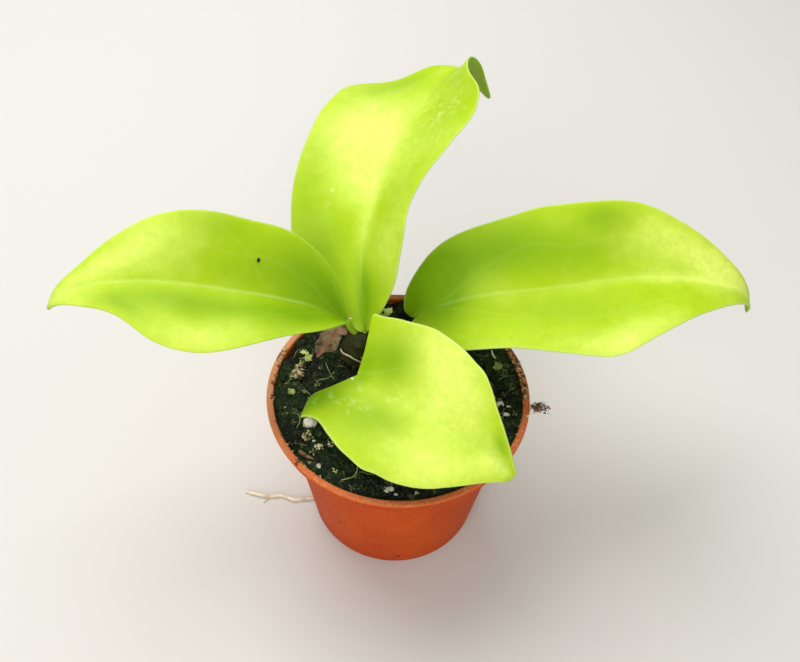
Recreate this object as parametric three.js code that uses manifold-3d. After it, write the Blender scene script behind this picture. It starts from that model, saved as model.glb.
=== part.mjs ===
// A young hoya cutting with four waxy leaves, growing in a small moulded plastic nursery pot.
// Millimetres and degrees, +Z up. The origin is the middle of the pot's base, on the surface it stands on.
// The plant is seen from -Y: the left leaf points along -X, the right one along +X.

import * as THREE from 'three';
import { mergeVertices } from 'three/addons/utils/BufferGeometryUtils.js';
import Module from 'manifold-3d';

const wasm = await Module();
wasm.setup();

// ---------------------------------------------------------------- driving dimensions

const GAP = 0.3; // left between pieces that touch

const POT = {
  height: 40,
  baseRadius: 19,
  footRound: 0.6, // where the base turns up into the wall
  wallTopRadius: 23.8, // outside, just under the shoulder
  shoulderHeight: 36,
  shoulderRise: 0.5, // the shoulder slopes up this much to the collar
  collarRadius: 26.2,
  rimRadius: 27.5,
  rimThickness: 0.9,
  rimRound: 0.5,
  draft: 0.1, // the collar widens this much towards its top, so that it leaves the mould
  wall: 0.8,
  floor: 0.9,
  holes: 6,
  holeRadius: 2.0,
  holeRing: 12.5,
  channelWidth: 3.0, // two shallow drains across the underside
  channelDepth: 1.2,
  channelAngle: 9,
  hub: 8, // radius of the plain middle of the base
};

// bump: height of the gentle unevenness. edge: how much higher the soil stands at the pot than in the middle.
const SOIL = { level: 37.9, bump: 0.4, edge: 0.5, footRound: 0.8 };

const STEM = {
  path: [[-10.6, 11.4, 26], [-10.4, 11.0, 32], [-10.0, 10.4, 38], [-9.3, 9.7, 43], [-8.6, 9.2, 46.5]],
  radius: [2.4, 2.9, 3.0, 2.7, 2.2],
};

const LEAF = {
  thickness: 1.0,
  margin: 0.45, // thickness at the edge
  rib: 0.6, // how far the midrib stands out underneath
  ribWidth: 1.0,
  tipWidth: 0.25,
  lobeReach: 0.16, // share of the length that the base lobes take
  lobeRound: 1.5,
  rows: 22,
  columns: 8,
};

// Each leaf is drawn along its midrib, from the base of the blade to the tip, at even stations.
// heading: direction seen from above, 0 along +X. pitch: rise above level. roll: left side raised.
// fold: how far each half rises out of flat. left and right: half widths. lobe: how far back the
// base corners reach. curl: extra droop of the tip, from the station curlFrom on.
const LEAVES = {
  leaf_left: {
    colour: '#a4cf36',
    base: [-11.5, 8, 52],
    length: 62,
    heading: [189, 188, 187, 190, 194],
    pitch: [44, 20, 15, 0, -27],
    roll: [-15, -15, -20, -17, -13],
    fold: [40, 15, 13],
    left: [1.2, 8.5, 12, 14.5, 15.5, 13.5, 7.5, 4, 0],
    right: [1.2, 9, 13.5, 14.5, 15, 13.5, 9, 3.5, 0],
    lobe: 0,
    curl: 29,
    curlFrom: 0.85,
    stalk: [[-9.2, 9.8, 44], [-11.0, 9.0, 46], [-11.9, 8.2, 49], [-11.7, 8.0, 52.2]],
    stalkRadius: [1.3, 1.0],
  },
  leaf_right: {
    colour: '#9acb2c',
    base: [3.5, 12, 50],
    length: 76,
    heading: [5, 5, 6, 3, -1],
    pitch: [36, 8, 9, -8, -32],
    roll: [14, 11, 17, 13, 5],
    fold: [14, 16, 14],
    left: [5, 13, 16, 17.5, 17, 16, 11.5, 5.5, 0],
    right: [5.5, 13, 15.5, 17.5, 19, 15, 10, 5, 0],
    lobe: 3,
    curl: 45,
    curlFrom: 0.85,
    stalk: [[-9.4, 9.8, 43.2], [-5.5, 10.2, 44], [-1.5, 11, 46], [3.5, 12, 49.6]],
    stalkRadius: [1.4, 1.3],
  },
  leaf_back: {
    colour: '#b6da3e',
    base: [-7.5, 9, 48],
    length: 85,
    heading: [105, 90, 75, 67, 50, 36, 27],
    pitch: [47, 36, 27, 20, 18, 18, 20],
    roll: [-22, -28, -29, -20, -24, -27, -22],
    fold: [27, 17, -19],
    left: [1.4, 10.5, 17, 19.5, 19.5, 21, 10.5, 3, 0],
    right: [1.4, 11.5, 15, 19, 20, 19.5, 10, 3, 0],
    lobe: 0,
    curl: 124,
    curlFrom: 0.76,
    stalk: [[-8.6, 9.2, 45.0], [-8.2, 9.0, 46.8], [-7.5, 9.0, 48.2]],
    stalkRadius: [1.4, 1.3],
  },
  leaf_front: {
    colour: '#aed83a',
    base: [-8.5, -2.5, 47.5],
    length: 38.5,
    heading: [-40, -36, -35, -34, -33],
    pitch: [7, 7, 2, -5, -13],
    roll: [20, 22, 29, 36, 41],
    fold: [22, 17, 15],
    left: [12, 14, 15.5, 15.5, 15, 12.5, 9, 4.5, 0],
    right: [12.5, 13, 14.5, 15, 14.5, 13, 9.5, 5.5, 0],
    lobe: 3.5,
    curl: 17,
    curlFrom: 0.8,
    stalk: [[-9.6, 9.9, 41.2], [-6.9, 6.0, 41.8], [-5.8, 1.8, 44.2], [-7.6, -2.6, 46.4]],
    stalkRadius: [1.3, 1.2],
  },
};

// The root that has crept out: from under the stem, down through a drain hole and along the surface.
const CREPT_ROOT = {
  path: [
    [-10.8, 11.4, 24.2], [-13.0, 6.5, 18], [-13.0, 1.0, 10], [-12.4, -1.9, 4], [-12.7, -2.0, 1.6],
    [-14.2, -2.3, 0.55], [-16.5, -2.7, 0.45], [-19.5, -3.3, 0.38], [-22.5, -3.9, 0.4], [-24.5, -4.1, 0.5],
    [-27, -3.3, 0.45], [-30.1, -3.6, 0.4], [-33, -3.2, 0.5], [-35.8, -2.6, 0.38],
  ],
  radius: [0.5, 0.35, 0.35, 0.3],
};
const CREPT_BRANCH = {
  path: [[-29.8, -3.55, 0.4], [-30.6, -4.4, 0.38], [-31, -5.2, 0.36]],
  radius: [0.25, 0.15],
};
const ROOT_CROWN = { centre: [-10.7, 11.4, 24.1], size: [2.3, 2.3, 1.5] };
const BURIED_ROOTS = [
  [[-9.8, 10.6, 24], [-3, 7, 20], [4, 3, 14], [8, -4, 7]],
  [[-10.2, 10.2, 24], [-6, 2, 22], [-2, -7, 17], [-4, -12, 10]],
  [[-9.8, 11.8, 24], [-2, 13, 21], [6, 12, 15], [9, 8, 6]],
  [[-11.2, 12, 24], [-15, 8, 19], [-14, 10, 12], [-9, 12, 6]],
];
const BURIED_RADIUS = [0.6, 0.45, 0.25];
const ROOT_SIDES = 6;

const AERIAL_ROOT = {
  path: [[-9.8, 9.6, 39.8], [-9.3, 6.5, 39.3], [-10.8, 6.5, 39.8], [-12.4, 7.2, 40.5], [-13.3, 8.5, 41.3]],
  radius: [0.25, 0.26, 0.2],
};

const GROWING_TIP = {
  path: [[-8.3, 11.0, 45.0], [-7.0, 12.4, 46.8], [-5.2, 12.6, 48.6], [-3.6, 12.0, 50.4], [-2.6, 11.1, 52]],
  radius: [0.8, 0.95, 0.9, 0.3],
};

// A dried leaf: midline points, its half width at each, and its cross-section in half widths and thicknesses.
const WITHERED_LEAF = {
  midline: [[-11.6, 11.2, 43.6], [-13.6, 11.0, 43.2], [-15.8, 10.4, 41.7], [-17.2, 9.7, 40.1],
    [-17.8, 9.4, 38.8]],
  halfWidth: [0.6, 1.9, 2.6, 1.6, 0.3],
  thickness: 0.5,
  cup: 0.35,
  facing: [0.2, -0.7, 0.7],
  section: [[-1, 0], [-0.5, -0.5], [0, -0.9], [0.5, -0.5], [1, 0], [0.5, 0.5], [0, 0.1], [-0.5, 0.5]],
};

// A dry rootlet that hangs over the rim, ending in a small tuft.
const RIM_ROOT = {
  path: [[24.2, -3.3, 38.6], [24.7, -3.3, 39.8], [25.9, -3.2, 40.6], [27.4, -2.8, 40.7], [29.0, -2.2, 40.4],
    [30.4, -1.4, 40.1]],
  radius: [0.25, 0.25, 0.2],
};
const RIM_TUFT = { centre: [30.5, -1.3, 40.1], size: [1.9, 1.2, 0.9] };

// Loose grains on the soil: position seen from above, and half sizes. They lie a little more than half proud.
const GRAIN_LIFT = 0.4; // of the half height
const GRAIN_SWELL = 0.16; // unevenness, as a share of the size
const GRAINS = {
  perlite_ball: { at: [-17.8, -8.2], size: [1.4, 1.35, 1.3], colour: '#e6e2d6', seed: 1 },
  perlite_front_left: { at: [-15.0, -18.6], size: [0.6, 0.5, 0.5], colour: '#dfe6d8', seed: 2 },
  perlite_front: { at: [-0.8, -22.6], size: [0.9, 0.55, 0.5], colour: '#ece6d0', seed: 3 },
  perlite_right: { at: [21.3, -1.7], size: [0.8, 0.9, 0.8], colour: '#e2e6d0', seed: 4 },
  perlite_grain_right: { at: [22.5, -3.9], size: [0.9, 0.4, 0.4], colour: '#b9c8b4', seed: 5 },
  bark_clump: { at: [-21.6, 4.8], size: [1.5, 2.1, 1.1], colour: '#a8967a', seed: 6 },
  bark_crumb: { at: [-18.2, -11.4], size: [0.8, 1.2, 0.7], colour: '#9c8c6c', seed: 7 },
  vermiculite_left: { at: [-15.4, -14.0], size: [1.1, 0.8, 0.7], colour: '#c4bc94', seed: 8 },
  vermiculite_front: { at: [-13.2, -13.2], size: [0.7, 0.6, 0.5], colour: '#c9c79a', seed: 9 },
  moss_tuft_left: { at: [-20.2, 8.9], size: [1.3, 1.2, 0.9], colour: '#5d8a4a', seed: 10 },
  moss_flake_left: { at: [-22.4, -0.8], size: [1.0, 0.7, 0.5], colour: '#4e7a44', seed: 11 },
  moss_tuft_right: { at: [21.4, 8.6], size: [1.2, 1.1, 0.9], colour: '#64904c', seed: 12 },
};

const SOIL_BITS = {
  twig: {
    path: [[-19.0, -14.6], [-17.2, -15.2], [-14.8, -16.0]],
    radius: 0.45,
    lift: 0.75,
    colour: '#7a4636',
  },
  rootlet_front: {
    path: [[-10.0, -21.4], [-8.4, -20.6], [-7.6, -19.4], [-7.5, -18.0]],
    radius: 0.22,
    lift: 0.6,
    colour: '#b9c79a',
  },
  rootlet_right: {
    path: [[20.0, 13.0], [20.3, 11.8], [20.9, 10.8]],
    radius: 0.22,
    lift: 0.5,
    colour: '#a8a890',
  },
};

// ---------------------------------------------------------------- helpers

const rad = THREE.MathUtils.degToRad;
const vec = (p) => new THREE.Vector3(...p);

// Smooth curve through evenly spaced values, read at s from 0 to 1.
function through(values, s) {
  const last = values.length - 1;
  const x = THREE.MathUtils.clamp(s, 0, 1) * last;
  const i = Math.min(Math.floor(x), last - 1);
  const t = x - i;
  const before = i > 0 ? values[i - 1] : 2 * values[0] - values[1];
  const after = i < last - 1 ? values[i + 2] : 2 * values[last] - values[last - 1];
  const slope0 = (values[i + 1] - before) / 2;
  const slope1 = (after - values[i]) / 2;
  const t2 = t * t;
  const t3 = t2 * t;
  return (2 * t3 - 3 * t2 + 1) * values[i] + (t3 - 2 * t2 + t) * slope0
    + (3 * t2 - 2 * t3) * values[i + 1] + (t3 - t2) * slope1;
}

// A closed mesh as a solid: shared vertices merged, and flat triangles dropped.
function solidOf(geometry) {
  const bare = geometry.clone();
  bare.deleteAttribute('normal');
  bare.deleteAttribute('uv');
  const merged = mergeVertices(bare, 1e-4);
  const index = merged.index.array;
  const triangles = [];
  for (let i = 0; i < index.length; i += 3) {
    const [a, b, c] = [index[i], index[i + 1], index[i + 2]];
    if (a !== b && b !== c && c !== a) triangles.push(a, b, c);
  }
  const mesh = new wasm.Mesh({
    numProp: 3,
    vertProperties: Float32Array.from(merged.attributes.position.array),
    triVerts: Uint32Array.from(triangles),
  });
  return new wasm.Manifold(mesh);
}

function geometryOf(solid) {
  const mesh = solid.getMesh();
  const geometry = new THREE.BufferGeometry();
  geometry.setAttribute('position', new THREE.BufferAttribute(Float32Array.from(mesh.vertProperties), 3));
  geometry.setIndex(new THREE.BufferAttribute(Uint32Array.from(mesh.triVerts), 1));
  geometry.computeVertexNormals();
  return geometry;
}

// Skins a row of closed rings, each the same number of points, and caps both ends.
function skin(rings) {
  const count = rings[0].length;
  const position = rings.flat().flatMap((p) => [p.x, p.y, p.z]);
  const index = [];
  for (let r = 0; r < rings.length - 1; r++) {
    for (let k = 0; k < count; k++) {
      const a = r * count + k;
      const b = r * count + (k + 1) % count;
      index.push(a, b, b + count, a, b + count, a + count);
    }
  }
  const end = (rings.length - 1) * count;
  for (let k = 1; k < count - 1; k++) {
    index.push(0, k + 1, k);
    index.push(end, end + k, end + k + 1);
  }
  const geometry = new THREE.BufferGeometry();
  geometry.setAttribute('position', new THREE.Float32BufferAttribute(position, 3));
  geometry.setIndex(index);
  return solidOf(geometry);
}

// A round tube through points, its radius changing along it, and extra all round it and past its ends.
function tube(path, radii, steps = 12, sides = 8, extra = 0) {
  const points = path.map(vec);
  const last = points.length - 1;
  const start = points[0].clone().sub(points[1]).setLength(extra);
  const end = points[last].clone().sub(points[last - 1]).setLength(extra);
  points[0].add(start);
  points[last].add(end);
  const curve = new THREE.CatmullRomCurve3(points, false, 'centripetal');
  const frames = curve.computeFrenetFrames(steps, false);
  const rings = [];
  for (let i = 0; i <= steps; i++) {
    const centre = curve.getPointAt(i / steps);
    const radius = through(radii, i / steps) + extra;
    const ring = [];
    for (let k = 0; k < sides; k++) {
      const angle = 2 * Math.PI * k / sides;
      ring.push(centre.clone()
        .addScaledVector(frames.normals[i], radius * Math.cos(angle))
        .addScaledVector(frames.binormals[i], radius * Math.sin(angle)));
    }
    rings.push(ring);
  }
  return skin(rings);
}

// Small repeatable unevenness between -1 and 1.
function uneven(x, y, z) {
  const waves = [1.7 * x + 0.6 * z, 2.3 * y - 1.1 * x + 1, 2.9 * z + 1.3 * y + 2];
  return waves.reduce((sum, phase) => sum + Math.sin(phase), 0) / waves.length;
}

function named(name, solid, colour, roughness) {
  const material = new THREE.MeshStandardMaterial({ color: colour, roughness, metalness: 0 });
  const mesh = new THREE.Mesh(geometryOf(solid), material);
  mesh.name = name;
  return mesh;
}

// ---------------------------------------------------------------- pot

// Inside radius of the pot at a height above its floor.
function potInside(z) {
  const top = POT.wallTopRadius - POT.wall;
  const bottom = POT.baseRadius - POT.wall;
  return bottom + (top - bottom) * (z - POT.floor) / (POT.shoulderHeight - POT.floor);
}

// A straight bar across the underside of the pot, between two heights, that stops at the plain middle.
function drainBar(width, low, high, reach, hubRadius) {
  const bar = solidOf(new THREE.BoxGeometry(2 * reach, width, high - low).translate(0, 0, (low + high) / 2));
  const hub = solidOf(new THREE.CylinderGeometry(hubRadius, hubRadius, POT.height, 32).rotateX(Math.PI / 2));
  return bar.subtract(hub).rotate([0, 0, POT.channelAngle]);
}

// The drains show on the inside of the floor as two raised ridges.
function drainRidge(extra = 0) {
  const { channelWidth, channelDepth, wall, floor, baseRadius, hub } = POT;
  const width = channelWidth + 2 * (wall + extra);
  return drainBar(width, floor / 2, channelDepth + floor + extra, baseRadius - wall / 2, hub - wall - extra);
}

function buildPot() {
  const { height, baseRadius, footRound, wallTopRadius, shoulderHeight, shoulderRise, draft } = POT;
  const { collarRadius, rimRadius, rimThickness, rimRound, wall, floor } = POT;
  const inner = collarRadius - wall;
  const outline = [
    [0, 0],
    [baseRadius - footRound, 0],
    [baseRadius, footRound],
    [wallTopRadius, shoulderHeight],
    [collarRadius - shoulderRise, shoulderHeight + shoulderRise],
    [collarRadius, shoulderHeight + 2 * shoulderRise],
    [collarRadius + draft, height - rimThickness],
    [rimRadius - 0.4 * rimRound, height - rimThickness],
    [rimRadius, height - rimRound],
    [rimRadius - 0.3 * rimRound, height - 0.3 * rimRound],
    [rimRadius - rimRound, height],
    [inner + rimRound, height],
    [inner, height - rimRound],
    [inner - draft, shoulderHeight + shoulderRise + wall],
    [wallTopRadius - wall, shoulderHeight + shoulderRise],
    [potInside(floor + footRound), floor + footRound],
    [baseRadius - wall - footRound, floor],
    [0, floor],
  ];
  const profile = outline.map((p) => new THREE.Vector2(...p));
  const shell = solidOf(new THREE.LatheGeometry(profile, 52).rotateX(Math.PI / 2));
  const { channelWidth, channelDepth, hub } = POT;
  let pot = shell.add(drainRidge()).subtract(drainBar(channelWidth, -1, channelDepth, 2 * baseRadius, hub));
  for (let i = 0; i < POT.holes; i++) {
    const angle = rad(POT.channelAngle + 360 * i / POT.holes);
    const hole = new THREE.CylinderGeometry(POT.holeRadius, POT.holeRadius, 8, 16).rotateX(Math.PI / 2)
      .translate(POT.holeRing * Math.cos(angle), POT.holeRing * Math.sin(angle), 0);
    pot = pot.subtract(solidOf(hole));
  }
  return pot;
}

// ---------------------------------------------------------------- soil

function soilHeight(x, y) {
  const edge = Math.hypot(x, y) / (POT.collarRadius - POT.wall);
  const waves = 0.5 * Math.sin(0.45 * x + 0.3 * y) + 0.5 * Math.sin(0.7 * y - 0.35 * x + 1.2);
  return SOIL.level + SOIL.bump * waves + SOIL.edge * (edge * edge - 0.5);
}

function buildSoil() {
  const bottom = POT.floor + GAP;
  const inner = POT.collarRadius - POT.wall - POT.draft - GAP;
  const shelf = POT.shoulderHeight + POT.shoulderRise;
  const top = SOIL.level;
  const outline = [
    [0, bottom],
    [POT.baseRadius - POT.wall - GAP - SOIL.footRound, bottom],
    [potInside(bottom + SOIL.footRound) - GAP, bottom + SOIL.footRound],
    [POT.wallTopRadius - POT.wall - GAP, shelf + GAP / 2],
    [inner, shelf + POT.wall + GAP / 2],
    [inner, top],
  ];
  const rings = 5;
  for (let ring = rings - 1; ring >= 0; ring--) outline.push([inner * ring / rings, top]);
  const profile = outline.map((p) => new THREE.Vector2(...p));
  const geometry = new THREE.LatheGeometry(profile, 40).rotateX(Math.PI / 2);
  const position = geometry.attributes.position;
  for (let i = 0; i < position.count; i++) {
    if (position.getZ(i) > top - 1e-3) position.setZ(i, soilHeight(position.getX(i), position.getY(i)));
  }
  return solidOf(geometry);
}

// ---------------------------------------------------------------- leaves

// The midrib's points and frames: T along it, S to the leaf's left, N out of its upper face.
function midrib(leaf, rows) {
  const fine = 4;
  const total = rows * fine;
  const point = vec(leaf.base);
  const stations = [];
  const direction = (s) => {
    const ease = THREE.MathUtils.smoothstep(s, leaf.curlFrom, 1);
    const heading = rad(through(leaf.heading, s));
    const pitch = rad(through(leaf.pitch, s) - leaf.curl * ease);
    return { heading, pitch };
  };
  for (let i = 0; i <= total; i++) {
    const s = i / total;
    const { heading, pitch } = direction(s);
    const T = new THREE.Vector3(Math.cos(pitch) * Math.cos(heading), Math.cos(pitch) * Math.sin(heading),
      Math.sin(pitch));
    if (i % fine === 0) {
      const level = new THREE.Vector3(-Math.sin(heading), Math.cos(heading), 0);
      const upright = new THREE.Vector3().crossVectors(T, level);
      const roll = rad(through(leaf.roll, s));
      const S = level.clone().multiplyScalar(Math.cos(roll)).addScaledVector(upright, Math.sin(roll));
      const N = new THREE.Vector3().crossVectors(T, S);
      stations.push({ s, point: point.clone(), T, S, N });
    }
    point.addScaledVector(T, leaf.length / total);
  }
  return stations;
}

function buildBlade(leaf) {
  const { rows, columns } = LEAF;
  const stations = midrib(leaf, rows);
  const upper = [];
  const lower = [];
  for (const { s, point, T, S, N } of stations) {
    const fold = rad(through(leaf.fold, s));
    const back = leaf.lobe * Math.exp(-((s / LEAF.lobeReach) ** 2));
    for (let j = 0; j <= columns; j++) {
      const u = 2 * j / columns - 1;
      const reach = Math.abs(u);
      const side = u >= 0 ? leaf.left : leaf.right;
      const width = Math.max(through(side, s), LEAF.tipWidth);
      const middle = point.clone()
        .addScaledVector(S, u * width * Math.cos(fold))
        .addScaledVector(N, reach * width * Math.sin(fold))
        .addScaledVector(T, -back * reach ** LEAF.lobeRound);
      const half = (LEAF.margin + (LEAF.thickness - LEAF.margin) * (1 - reach ** 2)) / 2;
      const rib = LEAF.rib * Math.exp(-((u * width / LEAF.ribWidth) ** 2)) * (1 - s);
      upper.push(middle.clone().addScaledVector(N, half));
      lower.push(middle.clone().addScaledVector(N, -half - rib));
    }
  }
  const position = [...upper, ...lower].flatMap((p) => [p.x, p.y, p.z]);
  const across = columns + 1;
  const under = upper.length;
  const index = [];
  const quad = (a, b, c, d) => index.push(a, b, c, a, c, d);
  for (let i = 0; i < rows; i++) {
    for (let j = 0; j < columns; j++) {
      const a = i * across + j;
      quad(a, a + across, a + across + 1, a + 1);
      quad(under + a, under + a + 1, under + a + across + 1, under + a + across);
    }
    const right = i * across;
    const left = right + columns;
    quad(right, under + right, under + right + across, right + across);
    quad(left, left + across, under + left + across, under + left);
  }
  const tip = rows * across;
  for (let j = 0; j < columns; j++) {
    quad(j, j + 1, under + j + 1, under + j);
    quad(tip + j, under + tip + j, under + tip + j + 1, tip + j + 1);
  }
  const geometry = new THREE.BufferGeometry();
  geometry.setAttribute('position', new THREE.Float32BufferAttribute(position, 3));
  geometry.setIndex(index);
  return solidOf(geometry);
}

function buildLeaf(leaf) {
  return buildBlade(leaf).add(tube(leaf.stalk, leaf.stalkRadius, 8, 10));
}

function buildWitheredLeaf() {
  const { midline, halfWidth, thickness, cup, facing, section } = WITHERED_LEAF;
  const curve = new THREE.CatmullRomCurve3(midline.map(vec));
  const steps = 10;
  const rings = [];
  for (let i = 0; i <= steps; i++) {
    const t = i / steps;
    const centre = curve.getPoint(t);
    const along = curve.getTangent(t);
    const side = new THREE.Vector3().crossVectors(vec(facing), along).normalize();
    const face = new THREE.Vector3().crossVectors(along, side).normalize();
    const width = through(halfWidth, t);
    rings.push(section.map(([u, n]) => centre.clone()
      .addScaledVector(side, u * width)
      .addScaledVector(face, n * thickness + cup * Math.abs(u) * width)));
  }
  return skin(rings);
}

// ---------------------------------------------------------------- loose bits on the soil

// An uneven rounded lump.
function lump(centre, size, seed, extra = 0) {
  const geometry = new THREE.IcosahedronGeometry(1, 1);
  const position = geometry.attributes.position;
  for (let i = 0; i < position.count; i++) {
    const p = new THREE.Vector3().fromBufferAttribute(position, i);
    const swell = 1 + GRAIN_SWELL * uneven(2 * p.x + seed, 2 * p.y - seed, 2 * p.z + 2 * seed);
    position.setXYZ(i, ...size.map((half, axis) => p.getComponent(axis) * (half * swell + extra)));
  }
  return solidOf(geometry.translate(...centre));
}

function buildGrain({ at, size, seed }, extra = 0) {
  return lump([...at, soilHeight(...at) + GRAIN_LIFT * size[2]], size, seed, extra);
}

// A thin bit lies along the top of the soil.
function buildBit({ path, radius, lift }) {
  const points = path.map(([x, y]) => [x, y, soilHeight(x, y) + lift]);
  return tube(points, [0.7 * radius, radius, 0.6 * radius], 10, 6);
}

// ---------------------------------------------------------------- assembly

function buildStem(extra = 0) {
  return tube(STEM.path, STEM.radius, 14, 12, extra);
}

function buildRoots(extra = 0) {
  let roots = lump(ROOT_CROWN.centre, ROOT_CROWN.size, 3, extra);
  roots = roots.add(tube(CREPT_ROOT.path, CREPT_ROOT.radius, 40, ROOT_SIDES, extra));
  roots = roots.add(tube(CREPT_BRANCH.path, CREPT_BRANCH.radius, 4, ROOT_SIDES, extra));
  for (const path of BURIED_ROOTS) roots = roots.add(tube(path, BURIED_RADIUS, 7, ROOT_SIDES, extra));
  return roots;
}

const plant = new THREE.Group();
const stemClear = buildStem(GAP);

let soil = buildSoil().subtract(drainRidge(GAP)).subtract(stemClear).subtract(buildRoots(GAP));
for (const [name, grain] of Object.entries(GRAINS)) {
  soil = soil.subtract(buildGrain(grain, GAP));
  plant.add(named(name, buildGrain(grain), grain.colour, 0.9));
}
for (const [name, bit] of Object.entries(SOIL_BITS)) plant.add(named(name, buildBit(bit), bit.colour, 0.9));

plant.add(named('pot', buildPot(), '#bd5229', 0.5));
plant.add(named('soil', soil, '#182018', 1));
plant.add(named('roots', buildRoots().subtract(stemClear), '#d2c9a0', 0.8));
plant.add(named('stem', buildStem(), '#4c4526', 0.8));
for (const [name, leaf] of Object.entries(LEAVES)) {
  plant.add(named(name, buildLeaf(leaf).subtract(stemClear), leaf.colour, 0.4));
}
const growingTip = tube(GROWING_TIP.path, GROWING_TIP.radius, 10, 8).subtract(stemClear);
plant.add(named('growing_tip', growingTip, '#b5cf8a', 0.5));
plant.add(named('withered_leaf', buildWitheredLeaf().subtract(stemClear), '#6e5a44', 0.95));
const aerialRoot = tube(AERIAL_ROOT.path, AERIAL_ROOT.radius, 14, 6).subtract(stemClear);
plant.add(named('aerial_root', aerialRoot, '#d0c8b8', 0.8));
const rimTuft = tube(RIM_ROOT.path, RIM_ROOT.radius, 14, 6).add(lump(RIM_TUFT.centre, RIM_TUFT.size, 5));
plant.add(named('rim_root_tuft', rimTuft, '#7d6650', 0.95));

export default plant;
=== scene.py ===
# A young hoya cutting with four waxy leaves, growing in a small moulded plastic nursery pot.
# Shapes are worked in millimetres and turned into metres when a mesh is made. +Z is up, the origin is
# the middle of the pot's base on the surface it stands on, and the plant is seen from -Y.

import math
import random

import bmesh
import bpy
import numpy as np
from mathutils import Matrix, Vector, noise


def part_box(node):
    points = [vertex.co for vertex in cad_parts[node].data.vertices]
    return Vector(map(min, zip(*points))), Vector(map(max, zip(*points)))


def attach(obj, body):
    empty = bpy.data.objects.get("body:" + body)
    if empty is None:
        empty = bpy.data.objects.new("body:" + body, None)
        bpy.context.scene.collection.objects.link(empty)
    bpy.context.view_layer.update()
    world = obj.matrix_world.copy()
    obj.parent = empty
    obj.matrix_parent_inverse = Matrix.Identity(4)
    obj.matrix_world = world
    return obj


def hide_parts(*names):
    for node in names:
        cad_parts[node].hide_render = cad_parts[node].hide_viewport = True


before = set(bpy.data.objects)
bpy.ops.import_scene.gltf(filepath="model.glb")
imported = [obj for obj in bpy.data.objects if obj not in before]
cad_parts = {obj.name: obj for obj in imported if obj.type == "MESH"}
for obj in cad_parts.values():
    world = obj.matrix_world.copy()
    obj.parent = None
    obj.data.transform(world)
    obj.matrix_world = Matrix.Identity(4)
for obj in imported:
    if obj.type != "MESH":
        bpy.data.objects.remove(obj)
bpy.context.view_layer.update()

# ---------------------------------------------------------------------------------------------- pot
# The pot is one injection moulding in terracotta-coloured polypropylene, under a millimetre thick: a
# tapered wall, a sloping shoulder, a collar and a thin flat lip. Its base has six drain holes and two
# shallow drain channels, which stand up inside as ridges.

MM = 0.001
POT_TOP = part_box("pot")[1].z / MM
RIM_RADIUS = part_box("pot")[1].x / MM
BASE_RADIUS = 19.0
WALL_TOP_RADIUS = 23.8
SHOULDER_HEIGHT = 36.0
COLLAR_RADIUS = 26.9
WALL = 0.8
FLOOR = 0.9
LIP = 0.9
POT_SEGMENTS = 256
DRAIN_ANGLE = 9
DRAIN_HOLES = 6
DRAIN_HOLE_RADIUS = 2.0
HOLE_SEGMENTS = 48
DRAIN_RING = 12.5
DRAIN_WIDTH = 3.0
DRAIN_DEPTH = 1.2
HUB_RADIUS = 8.0
SHARP_ANGLE = 40


def linear(code):
    """An sRGB hex colour as linear red, green, blue and alpha."""
    shares = [int(code[i:i + 2], 16) / 255 for i in (1, 3, 5)]
    return [c / 12.92 if c <= 0.04045 else ((c + 0.055) / 1.055) ** 2.4 for c in shares] + [1.0]


def add_node(tree, kind, inputs=None, **settings):
    """Adds a shader node, sets its settings, and fills its inputs with values or other nodes' outputs."""
    made = tree.nodes.new(kind)
    for name, value in settings.items():
        setattr(made, name, value)
    for socket, value in (inputs or {}).items():
        if isinstance(value, bpy.types.NodeSocket):
            tree.links.new(value, made.inputs[socket])
        else:
            made.inputs[socket].default_value = value
    return made


def new_material(name, **constants):
    """A material whose Principled shader has these plain numbers, its nodes, and a place in the piece."""
    made = bpy.data.materials.new(name)
    made.use_nodes = True
    nodes = made.node_tree
    principled = nodes.nodes["Principled BSDF"]
    for socket, value in constants.items():
        principled.inputs[socket.replace("_", " ")].default_value = value
    return made, nodes, principled, add_node(nodes, "ShaderNodeTexCoord").outputs["Object"]


def per_mm(size):
    """Pattern scale that gives one cell in this many millimetres."""
    return 1 / (size * MM)


def noise_blend(tree, place, size, detail, low, high, first, second):
    """A colour from first to second as noise of this size in mm rises from low to high, and the noise."""
    cloud = add_node(tree, "ShaderNodeTexNoise", {"Vector": place, "Scale": per_mm(size), "Detail": detail})
    share = add_node(tree, "ShaderNodeMapRange", {0: cloud.outputs[0], 1: low, 2: high})
    blend = add_node(tree, "ShaderNodeMix", {0: share.outputs[0], 6: linear(first), 7: linear(second)},
                     data_type="RGBA")
    return blend.outputs[2], cloud.outputs[0]


def skin(rings):
    """Closed mesh through a row of closed rings, each the same number of points, with both ends capped."""
    count = len(rings[0])
    verts = np.concatenate([np.asarray(ring, float) for ring in rings])
    faces = []
    for r in range(len(rings) - 1):
        for k in range(count):
            a = r * count + k
            b = r * count + (k + 1) % count
            faces.append((a, b, b + count, a + count))
    last = (len(rings) - 1) * count
    faces.append(tuple(range(count - 1, -1, -1)))
    faces.append(tuple(range(last, last + count)))
    return verts, faces


def rounded(corners, steps=5):
    """An outline of (x, y, cut) corners, each eased by a curve that starts that far before it."""
    points = []
    for i, (x, y, cut) in enumerate(corners):
        here = np.array((x, y), float)
        if cut == 0:
            points.append(here)
            continue
        before = np.array(corners[i - 1][:2]) - here
        after = np.array(corners[i + 1][:2]) - here
        start = here + before / np.linalg.norm(before) * cut
        end = here + after / np.linalg.norm(after) * cut
        for t in np.linspace(0, 1, steps):
            points.append((1 - t) ** 2 * start + 2 * t * (1 - t) * here + t ** 2 * end)
    return points


def turned(outline, segments):
    """An outline of (radius, height) points turned about the vertical axis."""
    angles = np.linspace(0, 2 * math.pi, segments, endpoint=False)
    return skin([np.stack((r * np.cos(angles), r * np.sin(angles), np.full(segments, z)), 1)
                 for r, z in outline])


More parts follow.
